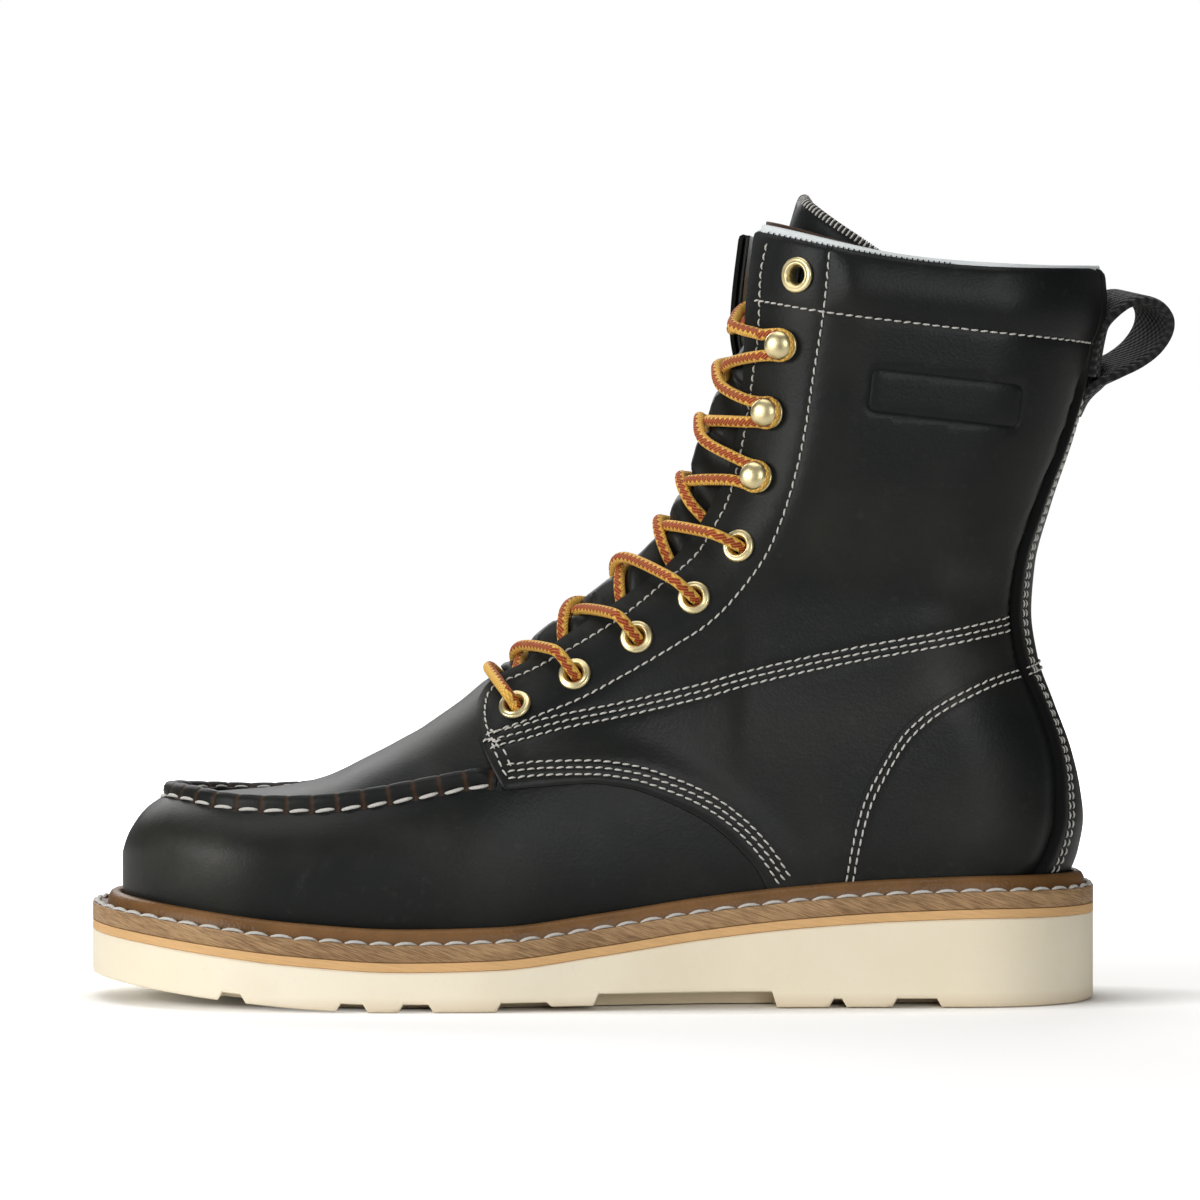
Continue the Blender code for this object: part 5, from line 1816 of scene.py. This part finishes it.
def lean_head(hook, to_side, normal):
    """Lean a hook's head over, more to the side of the boot."""
    turn = normal.to_track_quat("Z", "Y")
    local = turn.inverted() @ Quaternion(to_side.axis, to_side.angle * HOOK_LEAN) @ turn
    for vert in hook.data.vertices:
        share = float(ramp(vert.co.z / MM, 1.6, 3.6))
        pivot = Vector((0, 0, 2.6 * MM))
        vert.co = vert.co.lerp(pivot + local @ (vert.co - pivot), share)


def make_trim():
    """Brass eyelets and speed hooks in pairs."""
    brass = pale_brass()
    for kind, section, closed, places in (
            ("eyelet", EYELET_SECTION, True, EYELETS), ("hook", HOOK_SECTION, False, HOOKS)):
        pattern = spun(f"brass_{kind}", section, closed, brass)
        for side, label in SIDES:
            for number, (x, z) in enumerate(places, start=1):
                seat, normal, _, _ = trim_frame(x, z, side)
                copy = link_new(f"brass_{kind}_{label}_{number}", pattern.data.copy())
                up = Vector(normal)
                if kind == "hook":
                    lean_head(copy, up.rotation_difference(Vector((0, side, 0))), up)
                turn = up.to_track_quat("Z", "Y").to_matrix().to_4x4()
                if (x, z) == TOP_EYELET:
                    turn = turn @ Matrix.Diagonal((TOP_EYELET_SCALE, TOP_EYELET_SCALE, 1, 1))
                copy.data.transform(Matrix.Translation(Vector(to_row(seat))) @ turn)
                settle(copy, "brass", f"{kind}_{label}_{number}")
        bpy.data.objects.remove(pattern)


def make_pull_loop():
    """Webbing strap folded into a loop at the back of the collar."""
    width, thick, skew, tilt = LOOP_STRAP
    path = rope_line(LOOP_PATH, 1)
    ahead = heading(path)
    out = rows_of(-ahead[:, 1], ahead[:, 0])
    across = np.append(np.linspace(-0.5, 0.5, 13), np.linspace(0.5, -0.5, 13))
    level = np.repeat((0.5, -0.5), 13) * np.where(np.abs(across) > 0.49, 0.55, 1)
    free = ramp(path[:, 0], 308, 316)
    lean = width * (across + 0.5)[None] * free[:, None]
    x = path[:, None, 0] + out[:, None, 0] * thick * level[None] + skew * lean
    z = path[:, None, 1] + out[:, None, 1] * thick * level[None] + tilt * lean
    x = x - 2.2 * (2 * across[None]) ** 2 * (1 - free)[:, None]
    grid = rows_of(x, across[None] * width, z)
    around = np.append(across, across[0]) * width * MM
    uv = np.vstack((grid_uv(chord_lengths(path) * MM, around), np.zeros((2 * len(across), 2))))
    piece = new_bar("pull_strap", grid, woven_strap(), uv=uv)
    crisp(piece, 50)
    settle(piece, "webbing", "pull_loop")


# Lining folded over the rim: lift from the last's form, height in millimetres below the rim and in
# shares of its reach above it
LINING_FOLD = (
    (-1.5, -4.5), (-1.4, -3), (-1.25, -0.4), (-1.35, 0.75), (-1.9, 1), (-2.5, 0.7), (-2.8, -0.5),
    (-2.9, -4.5),
)
# Facing inside the lining: lift from the last's form, share of its reach over the rim
FACING_FOLD = ((-2.9, -1.5), (-2.9, 1), (-3.3, 1.08), (-3.8, 1), (-3.8, -1.5))


def make_collar_lining():
    """White lining folded up just over the collar's rim, thicker towards the front."""
    lining = lining_cloth()
    round_back = COLLAR_BACK[0] - 20 * np.linspace(0.98, 0.03, 50) ** 2
    x = np.append(np.linspace(203.5, 290, 90), round_back)
    proud = 1.4 + 1.2 * (1 - ramp(x, 206, 250)) - 0.4 * ramp(x, 270, 300)
    for side, label in SIDES:
        rows = []
        for lift, up in LINING_FOLD:
            height = collar_height(x) + (up * proud if up > 0 else up)
            rows.append(on_side(x, np.minimum(height, collar_height(x) - 0.5), side, lift))
            rows[-1][:, 2] += np.maximum(height - collar_height(x) + 0.5, 0)
        settle(new_bar(f"collar_lining_{label}", np.stack(rows, axis=1), lining), "lining")
        make_rim_trim(side, label)


def make_rim_trim(side, label):
    """Dark whip stitches along the rim and the inner facing's cut edge at its front."""
    x = np.arange(206, 262, 1.6)
    place = on_side(x, collar_height(x) - 0.5, side, -0.95)
    place[:, 2] += 0.62
    up = np.tile((0, 0, 1), (len(x), 1))
    points, faces = stitch_mesh(place, up, upper_normal(x, collar_height(x) - 2, side), 1.1, 0.24, 0.26)
    settle(new_piece(f"rim_stitches_{label}", points, faces, dark_thread()), "lace")
    x = np.linspace(203.5, 238, 40)
    top = 2.6 + 0.5 + 0.75 - 1.6 * ramp(x, 206, 238)
    rows = []
    for lift, share in FACING_FOLD:
        row = on_side(x, collar_height(x) - 0.5, side, lift)
        row[:, 2] += top * share
        rows.append(row)
    piece = new_bar(f"collar_facing_{label}", np.stack(rows, axis=1), moc_leather())
    mark(piece, "mark", np.full(len(piece.data.vertices), 0.8))
    settle(piece, "leather")


# Sole

def plan_loop(xs, edge):
    """Closed plan line along an edge of both sides: lateral, then medial."""
    lateral, medial = (rows_of(xs, edge(xs, side)) for side, _ in SIDES)
    lateral[0, 1] = bow(xs[0])
    medial[-1, 1] = 0
    return np.vstack((lateral[:-1], medial[::-1][:-1]))


def feather_edge(x, side):
    """Sideways place of the upper's lower edge."""
    return bow(x) + side * half_width(x, welt_top(x), side)


def feather_loop(offset, count):
    """Closed plan line round the upper's lower edge, moved out by an offset."""
    line = plan_loop(feather_stations(count), feather_edge)
    ahead = unit(np.roll(line, -1, axis=0) - np.roll(line, 1, axis=0))
    return line + rows_of(ahead[:, 1], -ahead[:, 0]) * offset


# Section of the welt: shares of the bead out from the upper and up from the rim, then places in from
# the rim's edge and heights over it
BEAD_SECTION = (
    (0, 0.80), (0.12, 0.95), (0.32, 1.03), (0.55, 1), (0.78, 0.84), (0.93, 0.55), (1, 0.2),
    (1.04, -0.08),
)
RIM_SECTION = ((1.25, -0.35), (0.75, -0.12), (0.4, 0), (0.12, -0.12), (0, -0.5))
WELT_STATIONS = 170


def make_welt():
    """Storm welt with bead, groove and cut edge, and its lockstitches."""
    inner = feather_loop(GAP, WELT_STATIONS)
    outer = plan_loop(spread(0, SOLE_LENGTH, WELT_STATIONS), sole_edge)
    way = outer - inner
    reach = np.linalg.norm(way, axis=1, keepdims=True)
    way = way / reach

    def ring(out, up):
        place = inner + way * out
        return np.column_stack((place, rim_top(place[:, 0]) + up))

    rings = [ring(0, -WELT_RIM + GAP)]
    rings += [ring(out * BEAD_WIDTH, up * BEAD_HEIGHT) for out, up in BEAD_SECTION]
    bead_rings = len(rings) + 1
    rings += [ring(reach - back, up) for back, up in RIM_SECTION]
    rings += [ring(reach, -WELT_RIM + GAP + 0.25), ring(reach - 0.25, -WELT_RIM + GAP)]
    loop = len(inner)
    points = np.vstack(rings)
    faces = grid_faces(len(rings) + 1, loop, wrap=True) % len(points)
    piece = new_piece("storm_welt", points, faces, bead_leather())
    piece.data.materials.append(welt_edge())
    first_edge = (bead_rings + len(RIM_SECTION) - 3) * loop
    for poly in piece.data.polygons:
        poly.material_index = 1 if poly.index >= first_edge else 0
    face_out(piece)
    crisp(piece, 50)
    settle(piece, "welt", "welt")
    line = resample(ring(reach - 1.3, -0.05), 0.8, closed=True)
    normals = np.tile((0, 0, 1), (len(line), 1))
    size = sizes().welt_pitch / MM
    thread = stitch_piece("welt_stitches", [(line, normals)], size, size * 0.96, 0.8, 0.55)
    settle(thread, "lace")


def lofted_sole(name, xs, low, high, rounding, material, core=None):
    """Slab of the sole's outline between two heights; a core closes the notches."""
    rings = []
    core = low if core is None else core
    for x, bottom, top, middle in zip(xs, low, high, core):
        belt = middle + (top - middle) * 0.55
        ring = []
        for side, _ in SIDES:
            corner = [
                (NOTCH_REACH + LUG_FLANK, middle), (NOTCH_REACH, bottom), (rounding, bottom),
                (rounding * 0.3, bottom + rounding * 0.3), (0, bottom + rounding),
                (0, bottom + rounding * 1.4), (0, max(belt, bottom + rounding * 1.5)),
                (0, top - rounding * 0.5), (rounding * 0.5, top),
            ]
            corner = [(sole_edge(x, side, inset), z) for inset, z in corner]
            ring += corner[::-1] if side == LATERAL else corner
        rings.append([(x, y, z) for y, z in ring])
    piece = new_bar(name, np.array(rings), material, WELD)
    crisp(piece, 40)
    return piece


def tread(x):
    """Underside of the outsole: lugs on the ground line, notches between them."""
    for (start, end, lift, notch), (following, _, next_lift, _) in zip(LUGS, LUGS[1:] + LUGS[-1:]):
        if start <= x <= end:
            return ground_of(x) + lift
        if end < x < following:
            down = min(1, (x - end) / LUG_FLANK)
            up = min(1, (following - x) / LUG_FLANK)
            return ground_of(x) + min(lift + (notch - lift) * down, next_lift + (notch - next_lift) * up)
    return ground_of(x)


def make_soles():
    """Tan midsole and cream wedge outsole with its lugs."""
    xs = spread(SOLE_END_CUT, SOLE_LENGTH - SOLE_END_CUT, 180)
    low = sole_top_of(xs) + GAP * 0.4
    midsole = lofted_sole("tan_midsole", xs, low, low + MIDSOLE_THICKNESS + GAP, 0.3, tan_midsole())
    settle(midsole, "tan", "midsole")
    flanks = [x for start, end, _, _ in LUGS for x in (start - LUG_FLANK, start, end, end + LUG_FLANK)]
    flanks = [x for x in flanks if 1 < x < SOLE_LENGTH - 1]
    stations = np.unique(np.append(xs, flanks))
    stations = stations[np.append(True, np.diff(stations) > 0.12)]
    under = np.array([tread(x) for x in stations])
    outsole = lofted_sole("wedge_outsole", stations, under, sole_top_of(stations), 1.1,
                          cream_rubber(), np.minimum(under, ground_of(stations) + 0.2))
    settle(outsole, "cream", "outsole")


def make_footbed():
    """Leather footbed inside the upper."""
    count = 90
    line = feather_loop(-(BASE_SINK + BASE_WALL + 0.6), count)
    k = np.arange(3, count - 2)[:, None]
    across = np.linspace(0, 1, 15)
    x, y = (column[k] + (column[-k] - column[k]) * across for column in line.T)
    dish = 1.2 * (4 * across * (1 - across))
    grid = rows_of(x, y, upper_bottom(x) + INSOLE_THICKNESS + 0.8 - dish)
    piece = new_sheet("leather_footbed", grid, footbed_leather())
    piece.data.flip_normals()
    apply_modifier(piece, "SOLIDIFY", thickness=2.2 * MM, offset=-1)
    crisp(piece, 50)
    settle(piece, "lining", "insole")


# Stage

CAMERA_AT = (155.9, -1650, 160)
CAMERA_PITCH = 1.343
CAMERA_LENS = 161.6
FLOOR_GLOW = 0.38
FLOOR_MIDDLE = 2.45
STUDIO_GLOW = 0.07
# Scales of the floor's distance from the boot's footprint, under which the glow fades out as a painted
# contact shadow
UNDER_BOOT = (0.3, 1, 0)
# Lights: name, place, aim, width, height in metres, power in watts
SOFTBOXES = (
    ("back_softbox", (-0.4, 1.6, 1.1), (-0.05, 0, 0.08), 1.8, 1, 21),
    ("top_softbox", (-0.2, -0.1, 1.7), (0, 0, 0.1), 1.4, 1.2, 12),
    ("key_softbox", (-1.55, -1.05, 0.5), (-0.05, 0, 0.05), 0.9, 0.7, 19.5),
    ("fill_softbox", (0.6, -2.2, 0.6), (0.05, 0, 0.05), 0.8, 0.6, 14.5),
)


def add_softbox(name, at, aim, width, height, power):
    """Rectangular soft light turned towards a point."""
    bpy.ops.object.light_add(type="AREA", location=at)
    light = bpy.context.object
    light.name = name
    light.data.shape = "RECTANGLE"
    light.data.size = width
    light.data.size_y = height
    light.data.energy = power
    light.rotation_euler = (Vector(aim) - Vector(at)).to_track_quat("-Z", "Y").to_euler()


def pale_floor():
    """Matt white floor that glows, so that it meets the background; the glow is weaker near the boot and
    fades out under its footprint as a painted contact shadow.
    """
    made = Finish("studio_floor", roughness=0.9, specular=0)

    def vector(operation, *inputs):
        return add_node(made.tree, "VectorMath", dict(enumerate(inputs)), operation=operation).outputs

    shifted = vector("ADD", made.coords["Object"], (0, FLOOR_MIDDLE, 0))[0]
    away = vector("LENGTH", shifted)["Value"]
    far = add_node(made.tree, "MapRange", {
        "Value": away, "From Min": 0.25, "From Max": 0.75}, interpolation_type="SMOOTHSTEP").outputs[0]
    seen = add_node(made.tree, "LightPath").outputs["Is Camera Ray"]
    glow = made.fit(far, 0, 1, FLOOR_GLOW, 1)
    glow = made.math("MULTIPLY", glow, made.fit(seen, 0, 1, 0.2, 1))
    # The glow fades out under the boot's footprint: a painted contact shadow
    beside = vector("LENGTH", vector("MULTIPLY", shifted, UNDER_BOOT)[0])["Value"]
    glow = made.math("MULTIPLY", glow, made.fit(beside, 0.044, 0.058))
    put(made.shader, "Emission Color", (1, 1, 1))
    put(made.shader, "Emission Strength", glow)
    return made.done((0.90, 0.89, 0.87))


def make_stage():
    """Pale floor, soft studio light and the camera."""
    bpy.ops.object.select_all(action="DESELECT")
    bpy.ops.mesh.primitive_plane_add(size=6, location=(0, FLOOR_MIDDLE, -0.0002))
    floor = bpy.context.object
    floor.name = "floor"
    floor.data.materials.append(pale_floor())
    for softbox in SOFTBOXES:
        add_softbox(*softbox)
    world = bpy.context.scene.world or bpy.data.worlds.new("studio")
    bpy.context.scene.world = world
    world.use_nodes = True
    tree = world.node_tree
    background = tree.nodes["Background"]
    put(background, "Color", (1, 1, 1))
    seen = add_node(tree, "LightPath").outputs["Is Camera Ray"]
    glow = add_node(tree, "MapRange", {"Value": seen, "To Min": STUDIO_GLOW, "To Max": 1}).outputs[0]
    put(background, "Strength", glow)
    at = to_row(CAMERA_AT)
    bpy.ops.object.camera_add(location=tuple(at), rotation=(math.radians(90 - CAMERA_PITCH), 0, 0))
    camera = bpy.context.object
    camera.name = "photo_camera"
    camera.data.sensor_width = 36
    camera.data.lens = CAMERA_LENS
    camera.data.clip_end = 50
    bpy.context.scene.camera = camera
    bpy.context.scene.view_settings.view_transform = "Standard"
    bpy.context.scene.view_settings.look = "None"


# Operators

class BOOT_OT_stage(bpy.types.Operator):
    """Add the floor, lights and camera"""

    bl_idname = "boot.stage"
    bl_label = "Stage"

    def execute(self, context):
        make_stage()
        return {"FINISHED"}


class BOOT_OT_lace(bpy.types.Operator):
    """Lace the boot"""

    bl_idname = "boot.lace"
    bl_label = "Lace"

    def execute(self, context):
        make_lace()
        return {"FINISHED"}


class BOOT_OT_vamp(bpy.types.Operator):
    """Build the upper's base sheet"""

    bl_idname = "boot.vamp"
    bl_label = "Vamp and shaft"

    def execute(self, context):
        make_vamp()
        return {"FINISHED"}


class BOOT_OT_quarters(bpy.types.Operator):
    """Lay the quarters over the vamp"""

    bl_idname = "boot.quarters"
    bl_label = "Quarters"

    def execute(self, context):
        make_quarters()
        return {"FINISHED"}


class BOOT_OT_counters(bpy.types.Operator):
    """Lay the heel counters on"""

    bl_idname = "boot.counters"
    bl_label = "Heel counters"

    def execute(self, context):
        make_counters()
        return {"FINISHED"}


class BOOT_OT_backstay(bpy.types.Operator):
    """Lay the strip over the back seam"""

    bl_idname = "boot.backstay"
    bl_label = "Backstay"

    def execute(self, context):
        make_backstay()
        return {"FINISHED"}


class BOOT_OT_stitches(bpy.types.Operator):
    """Sew the panels"""

    bl_idname = "boot.stitches"
    bl_label = "Panel stitches"

    def execute(self, context):
        make_panel_stitches()
        return {"FINISHED"}


class BOOT_OT_moc_ridge(bpy.types.Operator):
    """Gather and sew the moc toe"""

    bl_idname = "boot.moc_ridge"
    bl_label = "Moc ridge"

    def execute(self, context):
        make_moc_ridge()
        return {"FINISHED"}


class BOOT_OT_tongue(bpy.types.Operator):
    """Pad the tongue and sew its edge"""

    bl_idname = "boot.tongue"
    bl_label = "Tongue"

    def execute(self, context):
        make_tongue()
        return {"FINISHED"}


class BOOT_OT_trim(bpy.types.Operator):
    """Set the brass trim"""

    bl_idname = "boot.trim"
    bl_label = "Eyelets and hooks"

    def execute(self, context):
        make_trim()
        return {"FINISHED"}


class BOOT_OT_pull_loop(bpy.types.Operator):
    """Fold the pull loop"""

    bl_idname = "boot.pull_loop"
    bl_label = "Pull loop"

    def execute(self, context):
        make_pull_loop()
        return {"FINISHED"}


class BOOT_OT_collar_lining(bpy.types.Operator):
    """Fold the lining over the collar"""

    bl_idname = "boot.collar_lining"
    bl_label = "Collar lining"

    def execute(self, context):
        make_collar_lining()
        return {"FINISHED"}


class BOOT_OT_welt(bpy.types.Operator):
    """Sew the storm welt on"""

    bl_idname = "boot.welt"
    bl_label = "Welt"

    def execute(self, context):
        make_welt()
        return {"FINISHED"}


class BOOT_OT_soles(bpy.types.Operator):
    """Build midsole and outsole"""

    bl_idname = "boot.soles"
    bl_label = "Soles"

    def execute(self, context):
        make_soles()
        return {"FINISHED"}


class BOOT_OT_footbed(bpy.types.Operator):
    """Lay the footbed in"""

    bl_idname = "boot.footbed"
    bl_label = "Footbed"

    def execute(self, context):
        make_footbed()
        return {"FINISHED"}


OPERATORS = (
    BOOT_OT_stage, BOOT_OT_lace, BOOT_OT_vamp, BOOT_OT_quarters, BOOT_OT_counters, BOOT_OT_backstay,
    BOOT_OT_stitches, BOOT_OT_moc_ridge, BOOT_OT_tongue, BOOT_OT_trim, BOOT_OT_pull_loop,
    BOOT_OT_collar_lining, BOOT_OT_welt, BOOT_OT_soles, BOOT_OT_footbed,
)


class BOOT_PT_panel(bpy.types.Panel):
    """Sidebar panel with the boot's sizes, colours and builders."""

    bl_label = "Moc Toe Boot"
    bl_idname = "BOOT_PT_panel"
    bl_space_type = "VIEW_3D"
    bl_region_type = "UI"
    bl_category = "Boot"

    def draw(self, context):
        for group in (context.scene.boot_sizes, context.scene.boot_colours):
            for name in group.__annotations__:
                self.layout.prop(group, name)
        for made in OPERATORS:
            self.layout.operator(made.bl_idname)


CLASSES = (BootSizes, BootColours, *OPERATORS, BOOT_PT_panel)


def register():
    """Register the classes and their settings."""
    for each in CLASSES:
        bpy.utils.register_class(each)
    bpy.types.Scene.boot_sizes = bpy.props.PointerProperty(type=BootSizes)
    bpy.types.Scene.boot_colours = bpy.props.PointerProperty(type=BootColours)


def unregister():
    """Take the settings and classes away again."""
    del bpy.types.Scene.boot_colours
    del bpy.types.Scene.boot_sizes
    for each in reversed(CLASSES):
        bpy.utils.unregister_class(each)


def main():
    """Build every piece in order."""
    register()
    random.seed(7)
    for made in OPERATORS:
        getattr(bpy.ops.boot, made.bl_idname.split(".")[1])()


if __name__ == "__main__":
    main()
